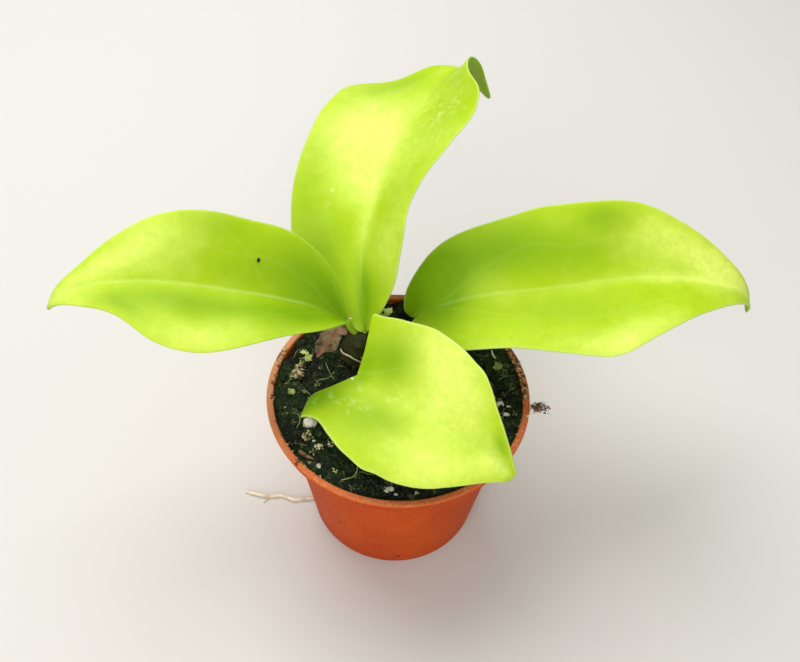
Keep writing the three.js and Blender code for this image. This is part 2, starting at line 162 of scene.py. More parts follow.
def make_piece(name, shape, material, slot=None, nodes=()):
    """A mesh from (points in millimetres, faces) that rides on the plant's one body, for these CAD nodes."""
    verts, faces = shape
    mesh = bpy.data.meshes.new(name)
    mesh.from_pydata((np.asarray(verts) * MM).tolist(), [], faces)
    turning = bmesh.new()
    turning.from_mesh(mesh)
    bmesh.ops.recalc_face_normals(turning, faces=turning.faces)
    turning.to_mesh(mesh)
    turning.free()
    mesh.shade_smooth()
    mesh.materials.append(material)
    piece = bpy.data.objects.new(name, mesh)
    bpy.context.scene.collection.objects.link(piece)
    if slot:
        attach(piece, "root")
        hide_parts(*nodes)
    return piece


def apply_boolean(piece, tool, operation):
    """Joins or cuts a piece with a tool, and removes the tool."""
    step = piece.modifiers.new("cut", "BOOLEAN")
    step.object = tool
    step.operation = operation
    step.solver = "EXACT"
    graph = bpy.context.evaluated_depsgraph_get()
    result = bpy.data.meshes.new_from_object(piece.evaluated_get(graph))
    piece.modifiers.remove(step)
    piece.data = result
    bpy.data.objects.remove(tool)


def drain_bar(width, low, high, reach, hub, material):
    """Two straight bars on one line across the base, with the plain middle of the base between them."""
    angle = math.radians(DRAIN_ANGLE)
    turn = np.array(((math.cos(angle), -math.sin(angle)), (math.sin(angle), math.cos(angle))))
    verts, faces = [], []
    for side in (1, -1):
        flat = np.array(((hub, -width / 2), (reach, -width / 2), (reach, width / 2), (hub, width / 2))) * side
        flat = flat @ turn.T
        rings = [np.column_stack((flat, np.full(4, z))) for z in (low, high)]
        points, sides = skin(rings)
        faces += [tuple(i + 8 * (side < 0) for i in face) for face in sides]
        verts.append(points)
    return make_piece("drain_tool", (np.concatenate(verts), faces), material)


# Injection-moulded polypropylene: satin, a little chalky and dusty, with faint flow marks and a fine grain
# left by the mould. Its lip is lighter on top, a painted highlight, and paler towards its left and back; pale
# flecks on it are partly wear and partly painted highlights. Peat has stained it in places, and the lip's
# inner edge is darkened brown, partly by peat stain and partly as painted shade.
PEAT_STAINS = (((26.4, 4.5, 40), 4.5), ((25.4, 9.5, 40), 4.0), ((26.0, -5.0, 38), 3.0),
               ((-25.6, 7.8, 40), 2.6), ((-26.4, 0.5, 40), 1.8), ((-24.8, -9.2, 40), 2.2),
               ((-19.5, -18.2, 40), 2.0), ((-16.0, -12.4, 9.2), 2.6), ((-11.2, -17.8, 15.2), 2.0),
               ((1.0, -19.5, 3.8), 2.2))
moulded_polypropylene, tree, shader, place = new_material(
    "moulded_polypropylene", Roughness=0.55, IOR=1.49, Specular_IOR_Level=0.06)
split = add_node(tree, "ShaderNodeSeparateXYZ", {0: place})
ground, _ = noise_blend(tree, place, 14, 3.0, 0.3, 0.7, "#B23A02", "#C84C06")
dust = add_node(tree, "ShaderNodeTexNoise", {"Vector": place, "Scale": per_mm(0.5), "Detail": 4.0})
dust_share = add_node(tree, "ShaderNodeMapRange", {0: dust.outputs[0], 1: 0.48, 2: 0.75, 4: 0.4})
dusty = add_node(tree, "ShaderNodeMix", {0: dust_share.outputs[0], 6: ground, 7: linear("#CC7E50")},
                 data_type="RGBA")
# The top of the lip is painted lighter: a painted highlight where light falls on it.
lip = add_node(tree, "ShaderNodeMapRange", {0: split.outputs["Z"], 1: (POT_TOP - 0.7) * MM,
                                            2: (POT_TOP - 0.1) * MM, 4: 0.6})
highlighted_lip = add_node(tree, "ShaderNodeMix", {0: lip.outputs[0], 6: dusty.outputs[2], 7: linear("#D8804C")},
                  data_type="RGBA")
# The lip is paler towards its left and back.
left_and_back = add_node(tree, "ShaderNodeVectorMath", {0: place, 1: (-0.8, 0.6, 0.0)},
                         operation="DOT_PRODUCT")
toward_left_back = add_node(tree, "ShaderNodeMapRange", {0: left_and_back.outputs["Value"], 1: 5 * MM, 2: 21 * MM,
                                                  4: 0.7})
left_back_lip_share = add_node(tree, "ShaderNodeMath", {0: toward_left_back.outputs[0], 1: lip.outputs[0]}, operation="MULTIPLY")
paler_left_back_lip = add_node(tree, "ShaderNodeMix", {0: left_back_lip_share.outputs[0], 6: highlighted_lip.outputs[2], 7: linear("#E0B48C")},
                     data_type="RGBA")
# Pale flecks along the lip's top: partly wear, partly painted highlight glints.
wear_and_glint_noise = add_node(tree, "ShaderNodeTexNoise", {"Vector": place, "Scale": per_mm(0.6), "Detail": 6.0,
                                             "Roughness": 0.7})
wear_and_glint_share = add_node(tree, "ShaderNodeMapRange", {0: wear_and_glint_noise.outputs[0], 1: 0.52, 2: 0.66, 4: 0.6})
lip_wear_and_glints = add_node(tree, "ShaderNodeMath", {0: wear_and_glint_share.outputs[0], 1: lip.outputs[0]},
                    operation="MULTIPLY", use_clamp=True)
paler = add_node(tree, "ShaderNodeMix", {0: lip_wear_and_glints.outputs[0], 6: paler_left_back_lip.outputs[2],
                                         7: linear("#F2C496")}, data_type="RGBA")
# The lip's inner edge is darkened brown: partly peat stain, partly painted shade where the lip drops to the
# soil.
inward = add_node(tree, "ShaderNodeVectorMath", {0: place, 1: (1.0, 1.0, 0.0)}, operation="MULTIPLY")
radius = add_node(tree, "ShaderNodeVectorMath", {0: inward.outputs[0]}, operation="LENGTH")
inner_edge_stain_and_shade = add_node(tree, "ShaderNodeMapRange", {0: radius.outputs["Value"], 1: (RIM_RADIUS - 0.8) * MM,
                                                  2: (RIM_RADIUS - 1.4) * MM, 4: 0.75})
near = add_node(tree, "ShaderNodeMath", {0: inner_edge_stain_and_shade.outputs[0], 1: lip.outputs[0]}, operation="MULTIPLY")
for centre, reach in PEAT_STAINS:
    away = add_node(tree, "ShaderNodeVectorMath", {0: place, 1: Vector(centre) * MM}, operation="DISTANCE")
    share = add_node(tree, "ShaderNodeMapRange", {0: away.outputs["Value"], 1: reach * MM, 2: 0.0})
    near = add_node(tree, "ShaderNodeMath", {0: near.outputs[0], 1: share.outputs[0]}, operation="MAXIMUM")
stains = add_node(tree, "ShaderNodeTexNoise", {"Vector": place, "Scale": per_mm(1.4), "Detail": 7.0,
                                               "Roughness": 0.68})
needed = add_node(tree, "ShaderNodeMapRange", {0: near.outputs[0], 3: 0.71, 4: 0.44})
stained = add_node(tree, "ShaderNodeMath", {0: stains.outputs[0], 1: needed.outputs[0]}, operation="SUBTRACT")
stain_and_shade = add_node(tree, "ShaderNodeMapRange", {0: stained.outputs[0], 1: 0.0, 2: 0.05, 4: 0.8})
# Dark brown from the peat stains and from the painted shade along the lip's inner edge.
stained_and_shaded = add_node(tree, "ShaderNodeMix", {0: stain_and_shade.outputs[0], 6: paler.outputs[2], 7: linear("#46240F")},
                  data_type="RGBA")
tree.links.new(stained_and_shaded.outputs[2], shader.inputs["Base Color"])
grain = add_node(tree, "ShaderNodeTexNoise", {"Vector": place, "Scale": per_mm(0.45), "Detail": 2.0})
relief = add_node(tree, "ShaderNodeBump", {"Height": grain.outputs[0], "Strength": 0.12, "Distance": 0.0002})
tree.links.new(relief.outputs[0], shader.inputs["Normal"])

collar_inside = COLLAR_RADIUS - WALL
foot_inside = BASE_RADIUS - WALL
GATE_RADIUS = 2.2
GATE_DEPTH = 0.3
pot_outline = rounded([
    (0.7, 0.1, 0), (0.9, GATE_DEPTH, 0.05), (GATE_RADIUS - 0.2, GATE_DEPTH, 0.1), (GATE_RADIUS, 0, 0.1),
    (BASE_RADIUS, 0, 0.9), (WALL_TOP_RADIUS, SHOULDER_HEIGHT, 0.5),
    (COLLAR_RADIUS, SHOULDER_HEIGHT + 0.9, 0.6), (COLLAR_RADIUS + 0.1, POT_TOP - LIP, 0.2),
    (RIM_RADIUS, POT_TOP - LIP, 0.3), (RIM_RADIUS, POT_TOP, 0.4), (collar_inside, POT_TOP, 0.45),
    (collar_inside - 0.1, SHOULDER_HEIGHT + 1.4, 0.4),
    (WALL_TOP_RADIUS - WALL, SHOULDER_HEIGHT + 0.5, 0.4), (foot_inside, FLOOR, 0.7), (0.7, FLOOR, 0)])
pot = make_piece("nursery_pot", turned(pot_outline, POT_SEGMENTS), moulded_polypropylene, "pot", ["pot"])
ridge = drain_bar(DRAIN_WIDTH + 2 * WALL, FLOOR / 2, DRAIN_DEPTH + FLOOR, foot_inside + WALL / 2,
                  HUB_RADIUS - WALL, moulded_polypropylene)
apply_boolean(pot, ridge, "UNION")
channel = drain_bar(DRAIN_WIDTH, -1, DRAIN_DEPTH, 2 * BASE_RADIUS, HUB_RADIUS, moulded_polypropylene)
apply_boolean(pot, channel, "DIFFERENCE")
hole_angles = [math.radians(DRAIN_ANGLE + 360 * i / DRAIN_HOLES) for i in range(DRAIN_HOLES)]
for angle in hole_angles:
    verts, faces = turned([(DRAIN_HOLE_RADIUS, -1), (DRAIN_HOLE_RADIUS, 4)], HOLE_SEGMENTS)
    verts += (DRAIN_RING * math.cos(angle), DRAIN_RING * math.sin(angle), 0)
    apply_boolean(pot, make_piece("hole_tool", (verts, faces), moulded_polypropylene), "DIFFERENCE")
pot.data.shade_smooth()
pot.data.set_sharp_from_angle(angle=math.radians(SHARP_ANGLE))

# --------------------------------------------------------------------------------------------- soil
# Damp peat with moss growing over it fills the pot nearly to its lip. It is one crumbly mass, lumpy on
# top and piled higher against the wall, and it shows as a dark floor behind the drain holes.

SOIL_LEVEL = 38.1
SOIL_BUMP = 0.4
SOIL_EDGE = 1.3
SOIL_RADIUS = collar_inside - 0.05
SOIL_BOTTOM = DRAIN_DEPTH + FLOOR + 0.3
CRUMB_SIZES = ((4.2, 1.1), (2.0, 1.0), (1.0, 0.6), (0.45, 0.25))
SOIL_SEGMENTS = 440
SOIL_RING_STEP = 0.24


def soil_height(x, y):
    """Height of the gently uneven top of the soil, before its crumbs."""
    edge = math.hypot(x, y) / collar_inside
    waves = 0.5 * math.sin(0.45 * x + 0.3 * y) + 0.5 * math.sin(0.7 * y - 0.35 * x + 1.2)
    return SOIL_LEVEL + SOIL_BUMP * waves + SOIL_EDGE * (edge ** 3 - 0.4)


def crumbled(x, y):
    """Height of the soil with its crumbs, which never stand above the lip."""
    rise = sum(depth * noise.noise(Vector((x, y, 7 * size)) / size) for size, depth in CRUMB_SIZES)
    return min(soil_height(x, y) + rise, POT_TOP - 0.3)


# Damp peat: near black, olive where moss has grown over it, rough, with wet glints on its crumbs.
damp_peat, tree, shader, place = new_material("damp_peat", IOR=1.4)
base, _ = noise_blend(tree, place, 5, 5.0, 0.42, 0.6, "#12120A", "#1A3310")
fibres = add_node(tree, "ShaderNodeTexNoise", {"Vector": place, "Scale": per_mm(0.8), "Detail": 8.0,
                                               "Roughness": 0.75})
bright = add_node(tree, "ShaderNodeMapRange", {0: fibres.outputs[0], 1: 0.52, 2: 0.7, 4: 0.85})
flecked = add_node(tree, "ShaderNodeMix", {0: bright.outputs[0], 6: base, 7: linear("#587434")},
                   data_type="RGBA")
tree.links.new(flecked.outputs[2], shader.inputs["Base Color"])
wet = add_node(tree, "ShaderNodeMapRange", {0: fibres.outputs[0], 1: 0.35, 2: 0.55, 3: 0.4, 4: 0.9})
tree.links.new(wet.outputs[0], shader.inputs["Roughness"])
relief = add_node(tree, "ShaderNodeBump", {"Height": fibres.outputs[0], "Strength": 0.9, "Distance": 0.0006})
tree.links.new(relief.outputs[0], shader.inputs["Normal"])

angles = np.linspace(0, 2 * math.pi, SOIL_SEGMENTS, endpoint=False)
rings = [np.stack((r * np.cos(angles), r * np.sin(angles), np.full(SOIL_SEGMENTS, z)), 1)
         for r, z in ((0.5, SOIL_BOTTOM), (foot_inside - 0.4, SOIL_BOTTOM),
                      (WALL_TOP_RADIUS - WALL - 0.35, SHOULDER_HEIGHT + 0.6),
                      (SOIL_RADIUS, SHOULDER_HEIGHT + 1.7))]
for r in np.append(np.arange(SOIL_RADIUS, 0.4, -SOIL_RING_STEP), 0.2):
    x, y = r * np.cos(angles), r * np.sin(angles)
    rings.append(np.stack((x, y, [crumbled(*at) for at in zip(x, y)]), 1))
make_piece("peat_soil", skin(rings), damp_peat, "soil", ["soil"])

# ------------------------------------------------------------------------------------- roots and stem
# Pale roots spread from the foot of the cutting through the soil. One has crept down through a drain
# hole and out along the surface the pot stands on. The stem is short and woody, with rings at its leaf
# joints, and an aerial root curls from it.

ROOT_CROWN = (-10.7, 11.4, 24.1)
CREPT_ROOT = [(-10.8, 11.4, 24.2), (-13.0, 6.5, 18), (-13.0, 1.0, 10), (-12.4, -1.9, 4), (-12.7, -2.0, 1.6),
              (-14.2, -2.3, 0.6), (-16.5, -2.8, 0.5), (-19.5, -3.7, 0.47), (-21.8, -4.1, 0.47),
              (-23.8, -4.4, 0.55), (-26.8, -3.5, 0.5), (-30.1, -3.8, 0.47), (-32.6, -3.5, 0.55),
              (-35.6, -2.7, 0.4)]
CREPT_BRANCH = [(-29.6, -3.75, 0.4), (-30.4, -4.6, 0.38), (-30.9, -5.4, 0.3)]
BURIED_ROOTS = [
    [(-9.8, 10.6, 24), (-3, 7, 20), (4, 3, 14), (8, -4, 7)],
    [(-10.2, 10.2, 24), (-6, 2, 22), (-2, -7, 17), (-4, -12, 10)],
    [(-9.8, 11.8, 24), (-2, 13, 21), (6, 12, 15), (9, 8, 6)],
    [(-11.2, 12, 24), (-15, 8, 19), (-14, 10, 12), (-9, 12, 6)]]
AERIAL_ROOT = [(-8.4, 9.2, 39.8), (-8.0, 6.8, 40.4), (-8.9, 6.2, 41.4), (-10.7, 6.8, 42.1),
               (-12.2, 7.4, 42.4), (-12.8, 8.3, 42.6)]
STEM = [(-10.6, 11.4, 26), (-10.4, 11.0, 32), (-10.0, 10.4, 38), (-9.2, 9.7, 43), (-8.3, 9.4, 47.4)]
STEM_RADII = [2.4, 2.9, 3.0, 2.7, 2.0]
STEM_STEPS = 89
JOINT_HEIGHTS = (39.5, 42.6, 45.4)
JOINT_SWELL = 0.4
JOINT_LENGTH = 0.5


def through(values, s):
    """A smooth curve through evenly spaced values, read at each s from 0 to 1."""
    values = np.asarray(values, float)
    s = np.atleast_1d(np.asarray(s, float))
    last = len(values) - 1
    x = np.clip(s, 0, 1) * last
    i = np.minimum(x.astype(int), last - 1)
    t = x - i
    ends = np.concatenate(([2 * values[0] - values[1]], values, [2 * values[last] - values[last - 1]]))
    if values.ndim > 1:
        t = t[:, None]
    before, here, after, beyond = ends[i], ends[i + 1], ends[i + 2], ends[i + 3]
    slope0 = (after - before) / 2
    slope1 = (beyond - here) / 2
    return ((2 * t ** 3 - 3 * t ** 2 + 1) * here + (t ** 3 - 2 * t ** 2 + t) * slope0
            + (3 * t ** 2 - 2 * t ** 3) * after + (t ** 3 - t ** 2) * slope1)


def unit(vectors):
    return vectors / np.linalg.norm(vectors, axis=-1, keepdims=True)


def tube(path, radii, steps=24, sides=12, knobs=0.0, knob_size=1.5, seed=0):
    """A round tube through points, its radius changing along it, knobbly by a share of the radius."""
    s = np.linspace(0, 1, steps + 1)
    centres = through(path, s)
    along = unit(np.gradient(centres, axis=0))
    aside = Vector(along[0]).orthogonal()
    rings = []
    angles = np.linspace(0, 2 * math.pi, sides, endpoint=False)
    for centre, forward, radius in zip(centres, along, through(radii, s).tolist()):
        forward = Vector(forward)
        aside = (aside - aside.dot(forward) * forward).normalized()
        other = forward.cross(aside)
        ring = []
        for angle in angles:
            out = math.cos(angle) * aside + math.sin(angle) * other
            at = Vector(centre) + radius * out
            swell = 1 + knobs * noise.noise(at / knob_size + Vector((0, 0, 9.7 * seed)))
            ring.append(Vector(centre) + radius * swell * out)
        rings.append(ring)
    return skin(rings)


def joined(shapes):
    """Several shapes as one."""
    verts, faces, start = [], [], 0
    for points, sides in shapes:
        points = np.asarray([tuple(p) for p in points])
        verts.append(points)
        faces += [tuple(i + start for i in face) for face in sides]
        start += len(points)
    return np.concatenate(verts), faces


def lump(centre, half, seed, detail=3, swell=0.22, pits=0.06):
    """An uneven rounded grain with fine pits."""
    ball = bmesh.new()
    bmesh.ops.create_icosphere(ball, subdivisions=detail, radius=1)
    offset = Vector((3.1 * seed, 1.7 * seed, 2.3 * seed))
    points = []
    for vert in ball.verts:
        size = 1 + swell * noise.noise(vert.co * 1.1 + offset) + pits * noise.noise(vert.co * 5 + offset)
        points.append([c + h * p * size for c, h, p in zip(centre, half, vert.co)])
    faces = [tuple(v.index for v in face.verts) for face in ball.faces]
    ball.free()
    return np.array(points), faces


# Living root: cream, matt and faintly fibrous, browner where it has dried in the air.
pale_root, tree, shader, place = new_material("pale_root", Roughness=0.7)
colour, _ = noise_blend(tree, place, 2.2, 5.0, 0.45, 0.72, "#F4EDD2", "#C4AE80")
tree.links.new(colour, shader.inputs["Base Color"])
fine = add_node(tree, "ShaderNodeTexNoise", {"Vector": place, "Scale": per_mm(0.25), "Detail": 3.0})
relief = add_node(tree, "ShaderNodeBump", {"Height": fine.outputs[0], "Strength": 0.5, "Distance": 0.0001})
tree.links.new(relief.outputs[0], shader.inputs["Normal"])

roots = [lump(ROOT_CROWN, (2.3, 2.3, 1.5), 3),
         tube(CREPT_ROOT, [0.5, 0.36, 0.36, 0.38, 0.3], 170, 12, 0.4, 0.9),
         tube(CREPT_BRANCH, [0.24, 0.12], 14, 8, 0.3, 0.6)]
roots += [tube(path, [0.6, 0.45, 0.25], 30, 8, 0.3) for path in BURIED_ROOTS]
make_piece("spreading_roots", joined(roots), pale_root, "root", ["roots"])
make_piece("curled_aerial_root", tube(AERIAL_ROOT, [0.22, 0.18, 0.18, 0.11], 70, 10, 0.25, 0.8), pale_root,
           "root", ["aerial_root"])

# Young bark: dark olive brown, mottled and matt, flecked with a few lighter corky spots.
young_bark, tree, shader, place = new_material("young_bark", Roughness=0.72, Specular_IOR_Level=0.25)
ground, mottle = noise_blend(tree, place, 1.6, 7.0, 0.0, 1.0, "#1E200B", "#45471C")
corky = add_node(tree, "ShaderNodeTexVoronoi", {"Vector": place, "Scale": per_mm(1.1)})
spots = add_node(tree, "ShaderNodeMapRange", {0: corky.outputs["Distance"], 1: 0.2, 2: 0.08, 4: 0.5})
colour = add_node(tree, "ShaderNodeMix", {0: spots.outputs[0], 6: ground, 7: linear("#6E5A3C")},
                  data_type="RGBA")
tree.links.new(colour.outputs[2], shader.inputs["Base Color"])
relief = add_node(tree, "ShaderNodeBump", {"Height": mottle, "Strength": 0.7, "Distance": 0.0004})
tree.links.new(relief.outputs[0], shader.inputs["Normal"])

along_stem = np.linspace(0, 1, STEM_STEPS + 1)
heights = through([point[2] for point in STEM], along_stem)
stem_radii = through(STEM_RADII, along_stem)
for joint in JOINT_HEIGHTS:
    stem_radii += JOINT_SWELL * np.exp(-((heights - joint) / JOINT_LENGTH) ** 2)
stem_radii[-4:] *= (0.97, 0.9, 0.75, 0.45)
make_piece("woody_stem", tube(STEM, stem_radii, STEM_STEPS, 48, 0.22, 1.9), young_bark, "stem", ["stem"])

# ------------------------------------------------------------------------------------------- leaves
# Four fleshy leaves on short stalks. Each blade is about a millimetre thick, thinner at its edge, with
# the midrib faintly sunk above and standing out below. Some tips and base corners roll under.

# Midrib drawn from the blade's base to its tip at even stations, in millimetres and degrees.
# heading: direction seen from above, 0 along +X. pitch: rise above level. roll: left side raised.
# fold: how far each half rises out of flat, and fold_right the right half where it differs. left, right:
# half widths. corner: rounding of the base's corners. lobe: how far back the left and right corners reach,
# within reach of the base, and lobe_round how late each turns back. curl: extra droop of the tip from
# station curl_from on. rolls: where the blade bends under, each (direction across the blade, 0 to the
# tip and 90 to the left; start of the bend; its radius; its most). crease: how wide the valley along the
# midrib is rounded. rib: how clearly the midrib shows from station rib_from on. edge: how clearly the
# pale edge does. The patch lists hold soft patches of paler green, of richer green and of whitish scuffs,
# each (s, u, reach in s, reach in u, share), where s runs from base to tip and u from -1 at the right edge to
# 1 at the left. The paler patches are partly the leaf's own tone and partly painted light where light falls
# on the blade; the richer ones are partly its own tone and partly painted shade in its folds and near its
# base. The values that shape the blades weren't chosen by hand: a fitting program matched them to
# leaf outlines that were read, and they were rounded.
PLAIN_LEAF = dict(corner=0.5, lobe=(0, 0), reach=0.16, lobe_round=(1.5, 1.5), curl=0, curl_from=0.85,
                  rolls=(), crease=3.0, rib=0.22, rib_from=0.0, edge=1.0)
LEAVES = {
    "leaf_left": dict(
        PLAIN_LEAF, base=(-11.5, 8, 52), length=62, heading=[189, 188, 187, 190, 194],
        pitch=[44, 20, 15, 0, -27], roll=[-15, -15, -20, -17, -13], fold=[40, 15, 13],
        left=[1.2, 8.5, 12, 14.5, 15.5, 13.5, 7.5, 4, 0], right=[1.2, 9, 13.5, 14.5, 15, 13.5, 9, 3.5, 0],
        curl=29, crease=1.5, rib=0.25, rib_from=0.06, edge=0.4,
        stalk=[(-9.0, 9.6, 46.0), (-9.9, 9.1, 47.6), (-10.7, 8.6, 49.6), (-11.3, 8.1, 51.5)],
        stalk_radii=[0.7, 0.72],
        pale_and_lit=[(0.62, -0.75, 0.15, 0.45, 0.6), (0.76, -0.45, 0.13, 0.3, 0.75), (0.93, 0.1, 0.09, 0.9, 0.8),
              (0.5, 0.82, 0.15, 0.24, 0.65)],
        deep_and_shaded=[(0.09, -0.5, 0.2, 0.6, 1.0), (0.42, -0.35, 0.2, 0.3, 0.3), (0.17, 0.5, 0.15, 0.5, 0.9),
              (0.02, 0.4, 0.06, 0.6, 0.5), (0.4, 0.34, 0.16, 0.22, 0.45),
              (0.58, 0.28, 0.14, 0.2, 0.5), (0.73, 0.62, 0.08, 0.25, 0.6), (0.45, -0.84, 0.12, 0.22, 0.4)],
        flecks=[(0.85, -0.4, 0.1, 0.4, 0.4)]),
    "leaf_right": dict(
        PLAIN_LEAF, base=(3.5, 12, 50), length=76, heading=[5, 5, 6, 3, -1], pitch=[36, 8, 9, -8, -32],
        roll=[14, 11, 17, 13, 5], fold=[14, 16, 14],
        left=[5, 13, 16, 17.5, 17, 16, 11.5, 5.5, 0], right=[5.5, 13, 15.5, 17.5, 19, 15, 10, 5, 0],
        corner=2.5, lobe=(2.7, 3.5), reach=0.2, lobe_round=(0.35, 0.35), curl=45, rib=0.15,
        stalk=[(-9.0, 11.4, 40.6), (-5.0, 12.0, 41.6), (-0.5, 12.0, 43.4), (3.4, 12.0, 46.8)],
        stalk_radii=[1.4, 1.3],
        pale_and_lit=[(0.72, 0.55, 0.14, 0.4, 0.8), (0.87, 0.3, 0.1, 0.6, 0.95), (0.52, -0.88, 0.14, 0.22, 0.9),
              (0.72, -0.02, 0.2, 0.12, 0.6)],
        deep_and_shaded=[(0.03, 0.6, 0.1, 0.7, 1.0), (0.1, 0.1, 0.08, 0.9, 0.8), (0.25, 0.59, 0.14, 0.4, 0.8),
              (0.54, 0.8, 0.07, 0.2, 0.6), (0.45, 0.4, 0.14, 0.3, 0.5), (0.38, -0.35, 0.2, 0.25, 0.35)],
        flecks=[(0.15, -0.6, 0.08, 0.2, 0.5)]),
    "leaf_back": dict(
        PLAIN_LEAF, base=(-7.5, 9, 48), length=76.5, heading=[105, 91.5, 78.5, 69, 56.2, 43.1, 38.2],
        pitch=[47, 37, 29, 21, 19, 18.2, 18.4], roll=[-22, -27.5, -28.9, -23, -22.2, -26, -27.6],
        fold=[27, 22, 18, 8, 11], fold_right=[27, 22, 18, 13, 55],
        left=[1.4, 5.4, 9.6, 14.8, 16.1, 17.6, 18.7, 19.4, 19.8, 21, 22, 21.7, 13.4, 9.9, 7.1, 4, 0.9],
        right=[1.4, 6.2, 10.4, 12.6, 14.2, 14.9, 16.6, 18.3, 19.9, 20.9, 20.5, 19.7, 18.2, 11.4, 6.7, 3.7, 1],
        rolls=[(8, 63.3, 4.9, 93)], rib=0.1,
        stalk=[(-8.4, 10.2, 44.6), (-8.2, 10.0, 45.8), (-7.9, 9.8, 46.9), (-7.6, 9.5, 47.7)],
        stalk_radii=[0.6, 0.6],
        pale_and_lit=[(0.57, 0.4, 0.14, 0.55, 1.0), (0.45, 0.1, 0.1, 0.3, 0.8), (0.31, -0.02, 0.1, 0.14, 0.45),
              (0.24, -0.75, 0.12, 0.3, 0.5), (0.55, -0.6, 0.2, 0.4, 0.25)],
        deep_and_shaded=[(0.07, -0.4, 0.09, 0.4, 0.55), (0.08, -0.08, 0.12, 0.22, 0.9), (0.03, 0.3, 0.05, 0.6, 0.6),
              (0.73, 0.65, 0.09, 0.35, 0.5), (0.22, 0.6, 0.11, 0.4, 0.5), (0.42, 0.85, 0.14, 0.2, 0.3),
              (0.68, -0.6, 0.2, 0.4, 0.3), (0.36, -0.6, 0.12, 0.4, 0.25), (0.84, 0.0, 0.09, 0.12, 0.4)],
        flecks=[(0.65, -0.5, 0.2, 0.45, 0.8), (0.36, 0.48, 0.05, 0.1, 0.8)]),
    "leaf_front": dict(
        PLAIN_LEAF, base=(-8.5, -2.5, 47.5), length=38.5, heading=[-40, -36, -35, -34, -33],
        pitch=[7, 7, 2, -5, -13], roll=[20, 22, 29, 36, 41], fold=[22, 17, 15],
        left=[12.6, 13.1, 14.1, 14.8, 15.4, 15.7, 15.5, 15.2, 14.7, 13.9, 13.1, 11.2, 8.8, 6.7, 4.3, 2.2,
              0.6],
        right=[14.6, 14.9, 13.2, 14.3, 15.4, 15.8, 16, 15.2, 14.8, 14, 12.9, 11.4, 9.4, 7.3, 5.2, 3.1, 0.9],
        corner=0.7, lobe=(3.23, 5.73), reach=0.196, lobe_round=(0.88, 0.82), curl=17, curl_from=0.8,
        crease=8, rolls=[(-146.51, 7.22, 5.18, 170), (-156.84, 5.89, 2.76, 120), (0, 36.6, 1.6, 170)],
        rib=0.06, rib_from=0.28,
        stalk=[(-9.4, 9.9, 41.2), (-5.9, 6.0, 41.6), (-4.8, 1.8, 44.0), (-7.0, -2.0, 46.2)],
        stalk_radii=[1.2, 1.1],
        pale_and_lit=[(0.4, 0.85, 0.22, 0.35, 1.0), (0.52, 0.35, 0.14, 0.4, 1.0), (0.7, 0.3, 0.13, 0.4, 0.4),
              (0.6, -0.62, 0.22, 0.45, 1.0), (0.87, -0.1, 0.1, 0.5, 0.7), (0.3, 0.05, 0.12, 0.25, 0.4)],
        deep_and_shaded=[(0.85, 0.65, 0.05, 0.25, 0.6), (0.16, 0.42, 0.13, 0.38, 0.8), (0.31, -0.32, 0.12, 0.2, 0.4),
              (0.2, -0.55, 0.13, 0.3, 0.4), (0.03, 0.1, 0.06, 0.5, 0.6), (0.03, -0.75, 0.07, 0.4, 1.0)],
        flecks=[(0.12, -0.45, 0.1, 0.3, 0.9), (0.28, -0.03, 0.1, 0.15, 0.7), (0.9, 0.1, 0.07, 0.4, 0.9)]),
}
BLADE_THICKNESS = 1.0
EDGE_THICKNESS = 0.45
MIDRIB_HEIGHT = 0.6
MIDRIB_WIDTH = 1.0
MIDRIB_GROOVE = 0.25
GROOVE_WIDTH = 0.8
TIP_WIDTH = 0.15
PALE_EDGE = 0.45
BELLY = 0.5
VEIN_SPACING = 8.0
RIPPLES = ((8.5, 0.28), (2.2, 0.05))
BASE_ROWS = (0, 0.02, 0.08, 0.2, 0.4, 0.7)
TIP_ROWS = (0.997, 0.9992)
BLADE_ROWS = 210
STALK_STEPS = 60
STALK_SIDES = 28
# The stalk runs on into the blade: how far from its base, how deep under its upper face, and how thick.
STALK_ROOT = ((1.5, 1.0, 0.8), (5, 0.8, 0.45), (9, 0.6, 0.25))
half_columns = np.append(np.linspace(0, 0.96, 33)[1:], (0.975, 0.986, 0.994, 0.998, 1.0))
COLUMNS = np.concatenate((-half_columns[::-1], [0.0], half_columns))


def smoothstep(x, low, high):
    t = np.clip((x - low) / (high - low), 0, 1)
    return t * t * (3 - 2 * t)


def midrib(leaf, s):
    """The midrib's points and frames: T along it, S to the leaf's left, N out of its upper face."""
    heading = np.radians(through(leaf["heading"], s))
    droop = leaf["curl"] * smoothstep(s, leaf["curl_from"], 1)
    pitch = np.radians(through(leaf["pitch"], s) - droop)
    roll = np.radians(through(leaf["roll"], s))[:, None]
    T = np.stack((np.cos(pitch) * np.cos(heading), np.cos(pitch) * np.sin(heading), np.sin(pitch)), 1)
    level = np.stack((-np.sin(heading), np.cos(heading), np.zeros_like(s)), 1)
    S = level * np.cos(roll) + np.cross(T, level) * np.sin(roll)
    steps = np.diff(s)[:, None] * leaf["length"] * (T[1:] + T[:-1]) / 2
    points = np.array(leaf["base"]) + np.concatenate((np.zeros((1, 3)), np.cumsum(steps, 0)))
    return points, T, S, np.cross(T, S)


